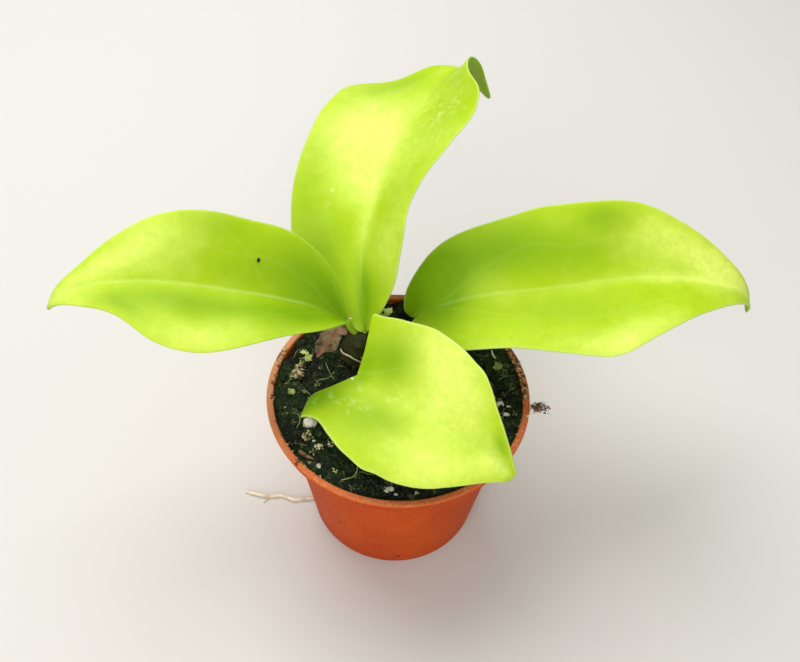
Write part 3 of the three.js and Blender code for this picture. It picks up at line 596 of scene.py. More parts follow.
def sheet(leaf, s, columns):
    """The blade's middle surface at these stations and shares of its half width, and those half widths."""
    points, T, S, N = midrib(leaf, s)
    u = columns[None, :]
    across = np.abs(u)
    row = s[:, None]
    wide = np.where(u >= 0, through(leaf["left"], s)[:, None], through(leaf["right"], s)[:, None])
    short = np.clip(1 - row * leaf["length"] / leaf["corner"], 0, 1)
    wide = np.maximum(wide - leaf["corner"] * (1 - np.sqrt(1 - short ** 2)), TIP_WIDTH)
    folds = [through(leaf.get(side, leaf["fold"]), s)[:, None] for side in ("fold", "fold_right")]
    fold = np.radians(np.where(u >= 0, folds[0], folds[1]))
    lobe = np.where(u >= 0, leaf["lobe"][0], leaf["lobe"][1])
    lateness = np.where(u >= 0, leaf["lobe_round"][0], leaf["lobe_round"][1])
    back = lobe * np.exp(-((row / leaf["reach"]) ** 2)) * across ** lateness
    x = u * wide
    y = row * leaf["length"] - back
    puff = 4 * BELLY * across * (1 - across) * np.sin(math.pi * row)
    ripple = [[sum(rise * noise.noise(Vector((a, b, leaf["length"])) / size) for size, rise in RIPPLES)
               for a, b in zip(xs, ys)] for xs, ys in zip(x, y)]
    crease = leaf["crease"]
    rounding = (np.hypot(x, crease) - crease) / (np.hypot(wide, crease) - crease)
    lift = wide * rounding * np.sin(fold) + puff + np.array(ripple)
    middle = (points[:, None] + S[:, None] * (x * np.cos(fold))[..., None] + N[:, None] * lift[..., None]
              - T[:, None] * back[..., None])
    for direction, start, radius, most in leaf["rolls"]:
        way = math.radians(direction)
        past = np.maximum(y * math.cos(way) + x * math.sin(way) - start, 0)
        bend = np.minimum(past / radius, math.radians(most))
        straight = past - bend * radius
        forward = radius * np.sin(bend) + straight * np.cos(bend) - past
        down = radius * (1 - np.cos(bend)) + straight * np.sin(bend)
        along = (T * math.cos(way) + S * math.sin(way))[:, None]
        middle = middle + along * forward[..., None] - N[:, None] * down[..., None]
    return middle, wide


def patches_at(patches, s, u):
    total = np.zeros_like(u)
    for at_s, at_u, reach_s, reach_u, share in patches:
        total += share * np.exp(-((s - at_s) / reach_s) ** 2 - ((u - at_u) / reach_u) ** 2)
    return np.clip(total, 0, 1)


def closed_sheet(upper, lower):
    """Closed mesh between two faces of a sheet that meet along its sides, with a strip at each end."""
    columns = upper.shape[1]
    verts, faces = skin(np.concatenate((upper, lower[:, -2:0:-1]), 1))
    faces = faces[:-2]
    count = 2 * columns - 2
    for start in (0, (len(upper) - 1) * count):
        for k in range(columns - 1):
            corners = dict.fromkeys((k, k + 1, (count - k - 1) % count, (count - k) % count))
            faces.append(tuple(start + corner for corner in corners))
    return verts, faces


def build_leaf(leaf):
    """The leaf's mesh, blade and stalk, and what its colour needs at each of their points."""
    even = np.linspace(0, 1, BLADE_ROWS)
    even = even[even * leaf["length"] > BASE_ROWS[-1] + 0.1]
    s = np.sort(np.concatenate((np.array(BASE_ROWS) / leaf["length"], even, TIP_ROWS)))
    row = s[:, None]
    u = COLUMNS[None, :]
    across = np.abs(u)
    middle, wide = sheet(leaf, s, COLUMNS)
    x = u * wide
    normal = unit(np.cross(np.gradient(middle, axis=0), np.gradient(middle, axis=1)))
    rim = np.sqrt((1 - across ** 60) * (1 - row ** 120) * (1 - (1 - row) ** 120))
    half = (EDGE_THICKNESS + (BLADE_THICKNESS - EDGE_THICKNESS) * (1 - across ** 2)) / 2 * rim
    rib = MIDRIB_HEIGHT * np.exp(-((x / MIDRIB_WIDTH) ** 2)) * (1 - row) * smoothstep(row, 0, 0.04)
    showing = leaf["rib"] * smoothstep(row, leaf["rib_from"], leaf["rib_from"] + 0.15) * (1 - 0.4 * row)
    groove = MIDRIB_GROOVE * showing * np.exp(-((x / GROOVE_WIDTH) ** 2)) * (1 - row)
    upper = middle + normal * (half - groove)[..., None]
    lower = middle - normal * (half + rib)[..., None]
    blade = closed_sheet(upper, lower)

    side_phase = (row * leaf["length"] - 0.8 * np.abs(x) - 0.02 * x ** 2) / VEIN_SPACING + 0.45 * (u > 0)
    arch = 0.52 * smoothstep(row, -0.05, 0.35) * (1 - 0.35 * smoothstep(row, 0.6, 1))
    side_vein = (across - arch) * wide
    s_grid = row + 0 * u
    u_grid = u + 0 * row
    edge = leaf["edge"] * (1 - smoothstep((1 - across) * wide, 0.4 * PALE_EDGE, PALE_EDGE))
    tones_and_painted_light = [patches_at(leaf[title], s_grid, u_grid) for title in ("pale_and_lit", "deep_and_shaded", "flecks")]
    looks = []
    for grids, at_stalk in (((x, side_vein, side_phase), (5.0, 9.0, 0.5)), (tones_and_painted_light, (0.1, 0.45, 0.0)),
                            ((edge, 0 * edge, showing + 0 * edge), (0.0, 0.25, 0.0))):
        face = np.stack(grids, -1)
        below = face[:, -2:0:-1].copy()
        if grids[0] is edge:
            below[..., 1] = 1
        flat = np.concatenate((face, below), 1).reshape(-1, 3)
        looks.append((flat, at_stalk))

    points, _, _, N = midrib(leaf, s)
    rooted = [points[np.searchsorted(s, far / leaf["length"])] - depth * N[0]
              for far, depth, _ in STALK_ROOT]
    path = leaf["stalk"] + [tuple(point) for point in rooted]
    first, last = leaf["stalk_radii"]
    radii = list(np.linspace(first, last, len(leaf["stalk"]))) + [radius for _, _, radius in STALK_ROOT]
    stalk = tube(path, radii, STALK_STEPS, STALK_SIDES, 0.06, 1.5)
    stalk_count = (STALK_STEPS + 1) * STALK_SIDES
    filled = [np.concatenate((flat, np.tile(at_stalk, (stalk_count, 1)))) for flat, at_stalk in looks]
    return joined((blade, stalk)), filled


# Leaf flesh under a waxy cuticle: bright yellow green, a faint pale midrib and still fainter side veins, a
# thin pale edge, a few whitish scuffs, duller below. Richer green in the folds and near the base is partly
# the leaf's own tone and partly painted shade; soft paler patches are partly its tone and partly painted
# light.
waxy_leaf, tree, shader, place = new_material(
    "waxy_leaf", Roughness=0.48, IOR=1.42, Specular_IOR_Level=0.16, Subsurface_Weight=0.25,
    Subsurface_Scale=0.001)
shader.inputs["Subsurface Radius"].default_value = (1.8, 2.2, 0.4)
ribs = add_node(tree, "ShaderNodeAttribute", attribute_name="_ribs")
tones_and_painted_light = add_node(tree, "ShaderNodeAttribute", attribute_name="_tones_and_painted_light")
skins = add_node(tree, "ShaderNodeAttribute", attribute_name="_skin")
rib = add_node(tree, "ShaderNodeSeparateXYZ", {0: ribs.outputs["Vector"]})
tone_and_painted_light = add_node(tree, "ShaderNodeSeparateXYZ", {0: tones_and_painted_light.outputs["Vector"]})
face = add_node(tree, "ShaderNodeSeparateXYZ", {0: skins.outputs["Vector"]})
cloud = add_node(tree, "ShaderNodeTexNoise", {"Vector": place, "Scale": per_mm(9), "Detail": 4.0})
cloudy = add_node(tree, "ShaderNodeMapRange", {0: cloud.outputs[0], 1: 0.3, 2: 0.7, 3: -0.16, 4: 0.16})
# Paler where the pale patches lie: partly the leaf's tone, partly painted light where light falls on the
# blade.
lighter_and_lit = add_node(tree, "ShaderNodeMath", {0: tone_and_painted_light.outputs[0], 1: cloudy.outputs[0]}, operation="ADD",
                   use_clamp=True)
flesh = add_node(tree, "ShaderNodeMix", {0: lighter_and_lit.outputs[0], 6: linear("#B2D01A"), 7: linear("#E4F570")},
                 data_type="RGBA")
# Richer green where the deep patches lie: partly the leaf's tone, partly painted shade in folds and near the
# base.
richer_and_shaded = add_node(tree, "ShaderNodeMix", {0: tone_and_painted_light.outputs[1], 6: flesh.outputs[2], 7: linear("#759F06")},
                  data_type="RGBA")
cells = add_node(tree, "ShaderNodeTexNoise", {"Vector": place, "Scale": per_mm(2.2), "Detail": 6.0,
                                              "Roughness": 0.7})
cell_share = add_node(tree, "ShaderNodeMapRange", {0: cells.outputs[0], 1: 0.36, 2: 0.62, 4: 0.24})
mottled = add_node(tree, "ShaderNodeMix", {0: cell_share.outputs[0], 6: richer_and_shaded.outputs[2],
                                           7: linear("#8DB612")}, data_type="RGBA")
mid_distance = add_node(tree, "ShaderNodeMath", {0: rib.outputs[0]}, operation="ABSOLUTE")
mid_line = add_node(tree, "ShaderNodeMapRange", {0: mid_distance.outputs[0], 1: 0.8, 2: 0.1},
                    interpolation_type="SMOOTHSTEP")
mid_shown = add_node(tree, "ShaderNodeMath", {0: mid_line.outputs[0], 1: face.outputs[2]},
                     operation="MULTIPLY")
wander = add_node(tree, "ShaderNodeTexNoise", {"Vector": place, "Scale": per_mm(12), "Detail": 0.0})
wandering = add_node(tree, "ShaderNodeMapRange", {0: wander.outputs[0], 3: -2.0, 4: 2.0})
side_shifted = add_node(tree, "ShaderNodeMath", {0: rib.outputs[1], 1: wandering.outputs[0]}, operation="ADD")
side_distance = add_node(tree, "ShaderNodeMath", {0: side_shifted.outputs[0]}, operation="ABSOLUTE")
side_line = add_node(tree, "ShaderNodeMapRange", {0: side_distance.outputs[0], 1: 0.7, 2: 0.05, 4: 0.03},
                     interpolation_type="SMOOTHSTEP")
phase_wander = add_node(tree, "ShaderNodeMapRange", {0: wander.outputs[0], 3: -0.3, 4: 0.3})
phase = add_node(tree, "ShaderNodeMath", {0: rib.outputs[2], 1: phase_wander.outputs[0]}, operation="ADD")
cycle = add_node(tree, "ShaderNodeMath", {0: phase.outputs[0], 1: 1.0}, operation="PINGPONG")
feather_line = add_node(tree, "ShaderNodeMapRange", {0: cycle.outputs[0], 1: 0.07, 2: 0.0, 4: 0.025},
                        interpolation_type="SMOOTHSTEP")
two_lines = add_node(tree, "ShaderNodeMath", {0: mid_shown.outputs[0], 1: side_line.outputs[0]},
                     operation="MAXIMUM")
lines = add_node(tree, "ShaderNodeMath", {0: two_lines.outputs[0], 1: feather_line.outputs[0]},
                 operation="MAXIMUM")
veined = add_node(tree, "ShaderNodeMix", {0: lines.outputs[0], 6: mottled.outputs[2], 7: linear("#DDF294")},
                  data_type="RGBA")
edge_share = add_node(tree, "ShaderNodeMath", {0: face.outputs[0], 1: 0.35}, operation="MULTIPLY")
edged = add_node(tree, "ShaderNodeMix", {0: edge_share.outputs[0], 6: veined.outputs[2],
                                         7: linear("#C8E890")}, data_type="RGBA")
scuffs = add_node(tree, "ShaderNodeTexNoise", {"Vector": place, "Scale": per_mm(1.7), "Detail": 5.0})
scuffed = add_node(tree, "ShaderNodeMath", {0: tone_and_painted_light.outputs[2], 1: 0.24, 2: scuffs.outputs[0]},
                   operation="MULTIPLY_ADD")
speck = add_node(tree, "ShaderNodeMapRange", {0: scuffed.outputs[0], 1: 0.7, 2: 0.98, 4: 0.4})
specked = add_node(tree, "ShaderNodeMix", {0: speck.outputs[0], 6: edged.outputs[2], 7: linear("#EAF7A8")},
                   data_type="RGBA")
below = add_node(tree, "ShaderNodeMix", {0: face.outputs[1], 6: specked.outputs[2], 7: linear("#8FAF36")},
                 data_type="RGBA")
tree.links.new(below.outputs[2], shader.inputs["Base Color"])
pores = add_node(tree, "ShaderNodeTexNoise", {"Vector": place, "Scale": per_mm(0.5), "Detail": 3.0})
relief = add_node(tree, "ShaderNodeBump", {"Height": pores.outputs[0], "Strength": 0.12, "Distance": 0.0002})
tree.links.new(relief.outputs[0], shader.inputs["Normal"])


def keep_values(piece, title, values):
    """Keeps a number, or three, for each point of a piece, under the title that its material reads."""
    values = np.asarray(values, np.float32)
    kind, field = ("FLOAT_VECTOR", "vector") if values.ndim == 2 else ("FLOAT", "value")
    piece.data.attributes.new(title, kind, "POINT").data.foreach_set(field, values.reshape(-1))


for name, leaf in LEAVES.items():
    shape, looks = build_leaf(leaf)
    piece = make_piece(name + "_blade", shape, waxy_leaf, "leaf", [name])
    for title, values in zip(("_ribs", "_tones_and_painted_light", "_skin"), looks):
        keep_values(piece, title, values)

# ------------------------------------------------------------------------- growing tip and dry leaf
# A bare young shoot leaves the top of the stem between the right and back leaves, and ends in
# three tiny unopened leaves. Below it hangs a small withered leaf, papery and crumpled, still on the stem.

SHOOT = [(-8.3, 11.0, 45.0), (-6.8, 12.4, 46.8), (-4.8, 12.4, 48.6), (-3.4, 11.6, 50.2), (-2.9, 11.2, 51.7)]
SHOOT_RADII = [0.7, 0.6, 0.5, 0.45, 0.5]
BUD_LEAVES = ([(-2.9, 11.2, 51.3), (-3.3, 11.1, 52.1), (-4.2, 11.0, 52.9)],
              [(-2.9, 11.2, 51.3), (-2.6, 11.2, 52.2), (-2.2, 11.3, 53.1)],
              [(-2.9, 11.3, 51.3), (-2.9, 11.3, 52.2), (-3.0, 11.4, 52.9)])
DRY_MIDLINE = [(-11.6, 11.2, 44.4), (-13.4, 12.0, 44.2), (-15.2, 11.0, 42.2), (-16.7, 9.9, 40.5),
               (-18.0, 8.6, 38.9)]
DRY_LEFT = [0.4, 1.3, 1.7, 2.3, 0.8, 0.15]
DRY_RIGHT = [0.5, 1.4, 2.6, 2.3, 1.7, 0.15]
DRY_CREASES = ((2.3, 0.7), (1.0, 0.4), (0.4, 0.12))
DRY_HALF_THICKNESS = 0.13
PINK_WIDTH = 0.45
PINK_SHARE = 0.7

# Young growth: pale green with a soft bloom.
young_shoot, tree, shader, place = new_material(
    "young_shoot", Roughness=0.6, Subsurface_Weight=0.15, Subsurface_Scale=0.001)
colour, _ = noise_blend(tree, place, 1.4, 4.0, 0.0, 1.0, "#C4DE5C", "#F6FAB8")
tree.links.new(colour, shader.inputs["Base Color"])
bud = [tube(SHOOT, SHOOT_RADII, 60, 20, 0.2, 1.2)]
bud += [tube(path, [0.35, 0.55, 0.08], 24, 14, 0.15, 0.8) for path in BUD_LEAVES]
make_piece("bare_shoot", joined(bud), young_shoot, "young_shoot", ["growing_tip"])

# Withered leaf: grey brown and papery, pinker along its midline, wrinkled as it dried.
withered_leaf, tree, shader, place = new_material("withered_leaf", Roughness=0.85)
middle_share = add_node(tree, "ShaderNodeAttribute", attribute_name="_middle")
dull, _ = noise_blend(tree, place, 2.0, 6.0, 0.35, 0.65, "#4C3824", "#B8A07A")
colour = add_node(tree, "ShaderNodeMix", {0: middle_share.outputs["Fac"], 6: dull, 7: linear("#B4765C")},
                  data_type="RGBA")
tree.links.new(colour.outputs[2], shader.inputs["Base Color"])
wrinkles = add_node(tree, "ShaderNodeTexNoise", {"Vector": place, "Scale": per_mm(0.5), "Detail": 5.0})
relief = add_node(tree, "ShaderNodeBump", {"Height": wrinkles.outputs[0], "Strength": 0.8,
                                           "Distance": 0.0003})
tree.links.new(relief.outputs[0], shader.inputs["Normal"])

t = np.linspace(0, 1, 70)
centres = through(DRY_MIDLINE, t)
along = unit(np.gradient(centres, axis=0))
aside = unit(np.cross((0.2, -0.7, 0.7), along))
out = np.cross(along, aside)
u = np.linspace(-1, 1, 41)[None, :]
wide = np.where(u > 0, through(DRY_LEFT, t)[:, None], through(DRY_RIGHT, t)[:, None])
flat = centres[:, None] + aside[:, None] * (u * wide)[..., None]
crumple = [[sum(rise * noise.noise(Vector(at) / size) for size, rise in DRY_CREASES) for at in line]
           for line in flat]
lift = 0.3 * np.abs(u) * wide + np.array(crumple)
papery = flat + out[:, None] * lift[..., None]
thin = DRY_HALF_THICKNESS * np.sqrt((1 - np.abs(u) ** 40) * (1 - t[:, None] ** 60))
shape = closed_sheet(papery + out[:, None] * thin[..., None], papery - out[:, None] * thin[..., None])
piece = make_piece("papery_leaf", shape, withered_leaf, "dry_leaf", ["withered_leaf"])
pink = PINK_SHARE * np.exp(-((u * wide / PINK_WIDTH) ** 2))
keep_values(piece, "_middle", np.concatenate((pink, pink[:, -2:0:-1]), 1).reshape(-1))

# ----------------------------------------------------------------------------- loose bits on the soil
# Grains of perlite, vermiculite and bark lie half sunk in the peat, among moss, a twig and a few dead
# rootlets. Crumbs of peat and perlite also lie on the leaves and along the lip.

scatter = random.Random(7)

# Expanded perlite: white volcanic glass foam, matt, pitted, a little stained by the peat.
expanded_perlite, tree, shader, place = new_material("expanded_perlite", Roughness=0.8)
colour, _ = noise_blend(tree, place, 1.2, 5.0, 0.48, 0.75, "#EEEADA", "#A39A7C")
tree.links.new(colour, shader.inputs["Base Color"])
pits = add_node(tree, "ShaderNodeTexVoronoi", {"Vector": place, "Scale": per_mm(0.35)})
relief = add_node(tree, "ShaderNodeBump", {"Height": pits.outputs["Distance"], "Strength": 0.6,
                                           "Distance": 0.0002})
tree.links.new(relief.outputs[0], shader.inputs["Normal"])

# Bark: grey brown and matt, streaked, crumbling at its edges.
shredded_bark, tree, shader, place = new_material("shredded_bark", Roughness=0.85)
colour, streak = noise_blend(tree, place, 0.8, 6.0, 0.42, 0.58, "#3C3018", "#E0D09C")
tree.links.new(colour, shader.inputs["Base Color"])
relief = add_node(tree, "ShaderNodeBump", {"Height": streak, "Strength": 0.8, "Distance": 0.0003})
tree.links.new(relief.outputs[0], shader.inputs["Normal"])

# Dead twig and root fibre: dull red brown and matt.
dead_fibre, tree, shader, place = new_material("dead_fibre", Roughness=0.9)
colour, _ = noise_blend(tree, place, 1.0, 4.0, 0.35, 0.65, "#52302A", "#A88264")
tree.links.new(colour, shader.inputs["Base Color"])

# Vermiculite: puffed flakes of mica, straw yellow with a dull shine.
expanded_mica, tree, shader, place = new_material("expanded_mica", Roughness=0.5)
colour, _ = noise_blend(tree, place, 0.9, 4.0, 0.35, 0.62, "#A89658", "#FFF8D6")
tree.links.new(colour, shader.inputs["Base Color"])

# Moss: fine living leaves, dark olive at their feet and light green at their tips.
living_moss, tree, shader, place = new_material("living_moss", Roughness=0.6)
tips = add_node(tree, "ShaderNodeAttribute", attribute_name="_tip")
growth = add_node(tree, "ShaderNodeTexNoise", {"Vector": place, "Scale": per_mm(2.4), "Detail": 4.0})
spread = add_node(tree, "ShaderNodeMapRange", {0: growth.outputs[0], 1: 0.35, 2: 0.68, 3: 0.4, 4: 1.3})
light = add_node(tree, "ShaderNodeMath", {0: tips.outputs["Fac"], 1: spread.outputs[0]},
                 operation="MULTIPLY", use_clamp=True)
colour = add_node(tree, "ShaderNodeMix", {0: light.outputs[0], 6: linear("#14220E"), 7: linear("#DCE88C")},
                  data_type="RGBA")
tree.links.new(colour.outputs[2], shader.inputs["Base Color"])

LEAFLET_STEPS = 5
LEAFLET_SIDES = 4


def tuft(centre, count, long, wide, tallest=1.2):
    """A star of little pointed leaves."""
    leaflets = []
    for number in range(count):
        way = 2 * math.pi * (number + scatter.random()) / count
        rise = scatter.uniform(0.1, tallest)
        size = long * scatter.uniform(0.6, 1.15)
        out = Vector((math.cos(way) * math.cos(rise), math.sin(way) * math.cos(rise), math.sin(rise)))
        start = Vector(centre)
        path = [start, start + 0.5 * size * out, start + size * out - Vector((0, 0, 0.25 * size))]
        leaflets.append(tube(path, [0.4 * wide, wide, 0.2 * wide], LEAFLET_STEPS, LEAFLET_SIDES))
    return leaflets


def make_moss(name, leaflets, lights, nodes=()):
    """A piece of moss whose leaflets grow lighter from foot to tip, each to its own light."""
    piece = make_piece(name, joined(leaflets), living_moss, "moss", nodes)
    share = np.repeat(np.linspace(0, 1, LEAFLET_STEPS + 1), LEAFLET_SIDES)
    keep_values(piece, "_tip", np.outer(lights, share).reshape(-1))


def clump(centre, half, count, seed, flat, detail):
    """A heap of uneven crumbs that fills a box."""
    crumbs = []
    for number in range(count):
        at = [c + scatter.uniform(-0.75, 0.75) * h for c, h in zip(centre, half)]
        size = [max(half) * scatter.uniform(0.16, 0.36) for _ in half]
        size[number % 3] *= flat
        at[2] = max(at[2], crumbled(at[0], at[1])) + 0.4 * size[2]
        crumbs.append(lump(at, size, seed + 0.37 * number, detail, 0.8, 0.4))
    return joined(crumbs)


MOSS_TUFTS_IN_A_GRAIN = 16
CRUMBS_IN_A_CLUMP = 22
BALL_SHIFT = 0.5  # how much nearer the front the big perlite ball lies than its plain solid
GRAIN_KINDS = {"perlite": expanded_perlite, "bark": shredded_bark, "vermiculite": expanded_mica, "moss": None}
grain_nodes = [name for name in sorted(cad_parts) if name.split("_")[0] in GRAIN_KINDS]
for number, name in enumerate(grain_nodes):
    low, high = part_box(name)
    slot = name.split("_")[0]
    centre = (low + high) / 2 / MM
    half = (high - low) / 2 / MM
    if slot == "moss":
        leaflets = []
        for _ in range(MOSS_TUFTS_IN_A_GRAIN):
            x = centre.x + scatter.uniform(-0.6, 0.6) * half.x
            y = centre.y + scatter.uniform(-0.6, 0.6) * half.y
            leaflets += tuft((x, y, max(centre.z, crumbled(x, y))), 8, 0.3 + 0.6 * half.z, 0.26)
        make_moss(name + "_grain", leaflets, [scatter.uniform(0.6, 1.6) for _ in leaflets], [name])
    elif slot == "perlite":
        centre.y -= BALL_SHIFT * (name == "perlite_ball")
        centre.z = max(centre.z, crumbled(centre.x, centre.y) + 0.15 * half.z)
        grain = lump(centre, 0.92 * half, number + 1, 4, 0.3, 0.12)
        make_piece(name + "_grain", grain, expanded_perlite, slot, [name])
    else:
        flat, detail = (0.3, 1) if slot == "vermiculite" else (0.7, 3)
        grain = clump(centre, half, CRUMBS_IN_A_CLUMP, number, flat, detail)
        make_piece(name + "_grain", grain, GRAIN_KINDS[slot], slot, [name])

TWIG = [(-19.3, -15.0), (-18.0, -16.1), (-16.2, -17.0)]
FRONT_ROOTLET = [(-7.4, -18.6), (-7.5, -19.8), (-8.2, -20.9), (-9.2, -21.6), (-10.3, -21.9)]
RIGHT_ROOTLET = [(20.0, 13.0), (20.3, 11.8), (20.9, 10.8)]


def lying(path, lift):
    return [(x, y, crumbled(x, y) + lift) for x, y in path]


make_piece("broken_twig", tube(lying(TWIG, 0.35), [0.34, 0.42, 0.2], 40, 14, 0.4, 0.8), dead_fibre, "bark",
           ["twig"])
# The front rootlet is as pale green as moss, so it has that material, at one even light.
piece = make_piece("front_dead_rootlet", tube(lying(FRONT_ROOTLET, 0.4), [0.1, 0.13, 0.08], 40, 8, 0.3),
                   living_moss, "root", ["rootlet_front"])
keep_values(piece, "_tip", np.full(len(piece.data.vertices), 0.62))
make_piece("right_dead_rootlet", tube(lying(RIGHT_ROOTLET, 0.4), [0.15, 0.22, 0.14], 30, 8, 0.3), pale_root,
           "root", ["rootlet_right"])


def on_soil(reach=0.98):
    """A random place on the soil."""
    radius = SOIL_RADIUS * reach * math.sqrt(scatter.random())
    angle = 2 * math.pi * scatter.random()
    return radius * math.cos(angle), radius * math.sin(angle)


PEAT_CRUMBS = 640
MOSS_TUFTS = 740
STRAND_FEET = 70
STRAND_STEPS = 14
STRAND_SIDES = 5
PERLITE_AND_GLINT_SPECKS = 60

crumbs = []
for number in range(PEAT_CRUMBS):
    x, y = on_soil()
    size = scatter.uniform(0.22, 0.85)
    half = [size * scatter.uniform(0.7, 1.2), size * scatter.uniform(0.7, 1.2), 0.65 * size]
    crumbs.append(lump((x, y, crumbled(x, y) + 0.1 * size), half, number, 2, 0.6, 0.35))
make_piece("peat_crumbs", joined(crumbs), damp_peat, "soil")

leaflets, lights = [], []
for number in range(MOSS_TUFTS):
    x, y = on_soil(0.96)
    added = tuft((x, y, crumbled(x, y) - 0.1), 6, scatter.uniform(0.4, 1.3), scatter.uniform(0.1, 0.22), 0.9)
    leaflets += added
    # Every fourteenth tuft has its tips made far lighter: a painted glint of wet moss.
    lights += [0.04 + 0.5 * scatter.random() ** 2 + (number % 14 == 0)] * len(added)
make_moss("moss_carpet", leaflets, lights)

leaflets, lights = [], []
for number in range(STRAND_FEET):
    x, y = on_soil(0.9)
    way = 2 * math.pi * scatter.random()
    long = scatter.uniform(2.0, 5.5)
    bend = scatter.uniform(-0.7, 0.7)
    arch = scatter.uniform(0.3, 1.1)
    path = []
    for step in range(4):
        height = max(crumbled(x, y), SOIL_LEVEL - 0.5) + arch * math.sin(math.pi * step / 3)
        path.append((x, y, min(height, POT_TOP + 0.6)))
        x += long / 3 * math.cos(way)
        y += long / 3 * math.sin(way)
        way += bend
        if math.hypot(x, y) > SOIL_RADIUS - 0.5:
            break
    if len(path) > 2:
        leaflets.append(tube(path, [0.1, 0.12, 0.06], STRAND_STEPS, STRAND_SIDES))
        lights.append(scatter.uniform(0.15, 0.6))
piece = make_piece("moss_strands", joined(leaflets), living_moss, "moss")
keep_values(piece, "_tip", np.repeat(lights, (STRAND_STEPS + 1) * STRAND_SIDES))

WHITE_BITS = [(-15.0, -19.0, 0.45), (-1.4, -23.2, 0.5), (0.4, -23.9, 0.4), (20.9, -1.8, 0.5),
              (23.2, -1.5, 0.5), (-18.7, -11.1, 0.4), (-16.6, -12.6, 0.35), (-3.4, -22.0, 0.3)]
bits = [lump((x, y, crumbled(x, y) + 0.3 * size), [size, 0.8 * size, 0.7 * size], number, 2, 0.4, 0.2)
        for number, (x, y, size) in enumerate(WHITE_BITS)]
# The small specks are partly perlite crumbs and partly painted highlights standing for wet glints on the
# moss.
for number in range(PERLITE_AND_GLINT_SPECKS):
    x, y = on_soil()
    size = scatter.uniform(0.08, 0.2)
    bits.append(lump((x, y, crumbled(x, y) + size), [size, size, size], number, 1, 0.3))
make_piece("perlite_crumbs", joined(bits), expanded_perlite, "perlite")

# Dried peat: brown and crumbly. It lies along the lip, thickest on the right.
dried_peat, tree, shader, place = new_material("dried_peat", Roughness=0.9)
colour, _ = noise_blend(tree, place, 0.7, 4.0, 0.42, 0.6, "#3C2412", "#E8B47E")
tree.links.new(colour, shader.inputs["Base Color"])

# Each stretch of the lip: first and last angle, crumbs, and how far they reach in and out of its middle.
RIM_CRUMBS = ((-2, 29, 210, 0.75, 0.35), (157, 168, 40, 0.6, 0.4), (-35, -2, 14, 0.7, -0.3),
              (29, 150, 8, 0.7, -0.2), (168, 240, 26, 0.7, -0.3))
LIP_MIDDLE = RIM_RADIUS - 0.8


def on_leaf(leaf, s, u):
    """A point on the upper face of a leaf."""
    middle, _ = sheet(leaf, np.linspace(0, s, 80), np.array([u]))
    return middle[-1, 0] + (0, 0, BLADE_THICKNESS / 2)


crumbs = []
for first, last, count, inward, outward in RIM_CRUMBS:
    for number in range(count):
        angle = math.radians(scatter.uniform(first, last))
        radius = LIP_MIDDLE + scatter.uniform(-inward, outward)
        size = 0.05 + 0.3 * scatter.random() ** 1.6
        half = [size * scatter.uniform(0.6, 1.4), size * scatter.uniform(0.6, 1.4), 0.6 * size]
        crumbs.append(lump((radius * math.cos(angle), radius * math.sin(angle), POT_TOP + 0.1 * size), half,
                           number, 2, 0.8, 0.5))
make_piece("spilled_peat", joined(crumbs), dried_peat, "soil")
dirt_on_leaf = lump(on_leaf(LEAVES["leaf_left"], 0.329, -0.45), (0.3, 0.55, 0.35), 5, 3, 0.6, 0.4)
make_piece("crumb_on_leaf", dirt_on_leaf, damp_peat, "soil")
on_front_leaf = lump(on_leaf(LEAVES["leaf_front"], 0.02, -0.1), (0.35, 0.3, 0.3), 0, 2, 0.4, 0.3)
at_left_base = lump((-10.5, 8.3, 52.4), (0.33, 0.3, 0.3), 7, 2, 0.4, 0.3)
make_piece("spilled_perlite", joined([on_front_leaf, at_left_base]), expanded_perlite, "perlite")

# ---------------------------------------------------------------------------------- rootlet on the lip
# A dry rootlet has grown over the lip on the right and ends in a tuft of brown fibres.

RIM_ROOT = [(26.6, -5.1, 40.0), (27.2, -5.0, 40.2), (28.1, -4.6, 40.3), (29.2, -4.0, 40.2)]
TUFT_CENTRE = Vector((29.2, -2.9, 40.2))
TUFT_HALF = Vector((2.1, 1.2, 0.6))
TUFT_HAIRS = 110
TUFT_CRUMBS = 26

hairs = []
for _ in range(TUFT_HAIRS):
    out = Vector((scatter.uniform(-1, 1), scatter.uniform(-1, 1), scatter.uniform(-0.6, 0.6)))
    start = TUFT_CENTRE + Vector([scatter.gauss(0, 0.42) * half for half in TUFT_HALF])
    side = Vector([scatter.uniform(-0.5, 0.5) for _ in range(3)])
    long = scatter.uniform(0.4, 1.6)
    path = [start, start + 0.5 * long * out + side, start + long * out]
    hairs.append(tube(path, [0.045, 0.055, 0.025], 8, 5, 0.4, 0.4))
for number in range(TUFT_CRUMBS):
    at = [c + scatter.gauss(0, 0.4) * half for c, half in zip(TUFT_CENTRE, TUFT_HALF)]
    size = scatter.uniform(0.12, 0.32)
    hairs.append(lump(at, [size, size, 0.7 * size], number, 2, 0.7, 0.4))
make_piece("rim_fibre_tuft", joined(hairs), dead_fibre, "dry_root", ["rim_root_tuft"])
make_piece("rim_rootlet", tube(RIM_ROOT, [0.14, 0.17, 0.12], 60, 8, 0.3), pale_root, "dry_root")

# ------------------------------------------------------------------------------- studio and camera
# A plain pale floor, soft studio lights, and a camera at the photograph's angle: close above the plant,
# looking 49 degrees down, tilted a little.

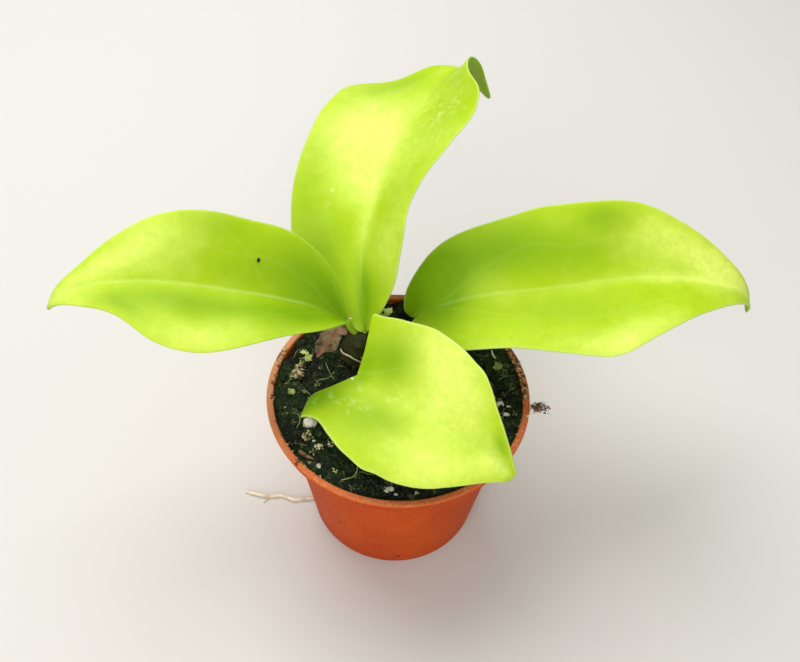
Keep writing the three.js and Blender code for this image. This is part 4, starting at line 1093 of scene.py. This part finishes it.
FLOOR_SIZE = 3000
CAMERA_DOWN = math.radians(49.3)
CAMERA_ROLL = math.radians(2.7)
CAMERA_DISTANCE = 174
CAMERA_AIM = Vector((-0.3, 0, 59))
LENS_LENGTH = 40.5
SENSOR_WIDTH = 36
LIGHTS_AIM = (0, 0, 40)

matt_paper, _, shader, _ = new_material("matt_paper", Roughness=0.9)
shader.inputs["Base Color"].default_value = linear("#D8D6D1")
half = FLOOR_SIZE / 2
floor_corners = [(-half, -half, 0), (half, -half, 0), (half, half, 0), (-half, half, 0)]
floor = make_piece("studio_floor", (np.array(floor_corners, float), [(0, 1, 2, 3)]), matt_paper)

world = bpy.data.worlds.new("soft_sky")
world.use_nodes = True
sky = world.node_tree.nodes["Background"]
sky.inputs["Color"].default_value = linear("#FBF9F4")
sky.inputs["Strength"].default_value = 0.4
bpy.context.scene.world = world


def add_softbox(name, place, size, watts):
    """A square area light turned toward the plant."""
    lamp = bpy.data.lights.new(name, "AREA")
    lamp.size = size * MM
    lamp.energy = watts
    box = bpy.data.objects.new(name, lamp)
    bpy.context.scene.collection.objects.link(box)
    box.location = Vector(place) * MM
    box.rotation_euler = (Vector(LIGHTS_AIM) - Vector(place)).to_track_quat("-Z", "Y").to_euler()


add_softbox("key_softbox", (-140, 230, 520), 460, 3.0)
add_softbox("fill_softbox", (-60, -440, 330), 420, 1.45)

forward = Vector((0, math.cos(CAMERA_DOWN), -math.sin(CAMERA_DOWN)))
level_up = Vector((0, math.sin(CAMERA_DOWN), math.cos(CAMERA_DOWN)))
right = Vector((1, 0, 0)) * math.cos(CAMERA_ROLL) + level_up * math.sin(CAMERA_ROLL)
up = -Vector((1, 0, 0)) * math.sin(CAMERA_ROLL) + level_up * math.cos(CAMERA_ROLL)
lens = bpy.data.cameras.new("camera")
lens.lens = LENS_LENGTH
lens.sensor_width = SENSOR_WIDTH
lens.clip_start = 10 * MM
camera = bpy.data.objects.new("camera", lens)
bpy.context.scene.collection.objects.link(camera)
camera.matrix_world = Matrix.Translation((CAMERA_AIM - CAMERA_DISTANCE * forward) * MM) @ Matrix(
    (right, up, -forward)).transposed().to_4x4()
bpy.context.scene.camera = camera
bpy.context.scene.view_settings.view_transform = "Standard"
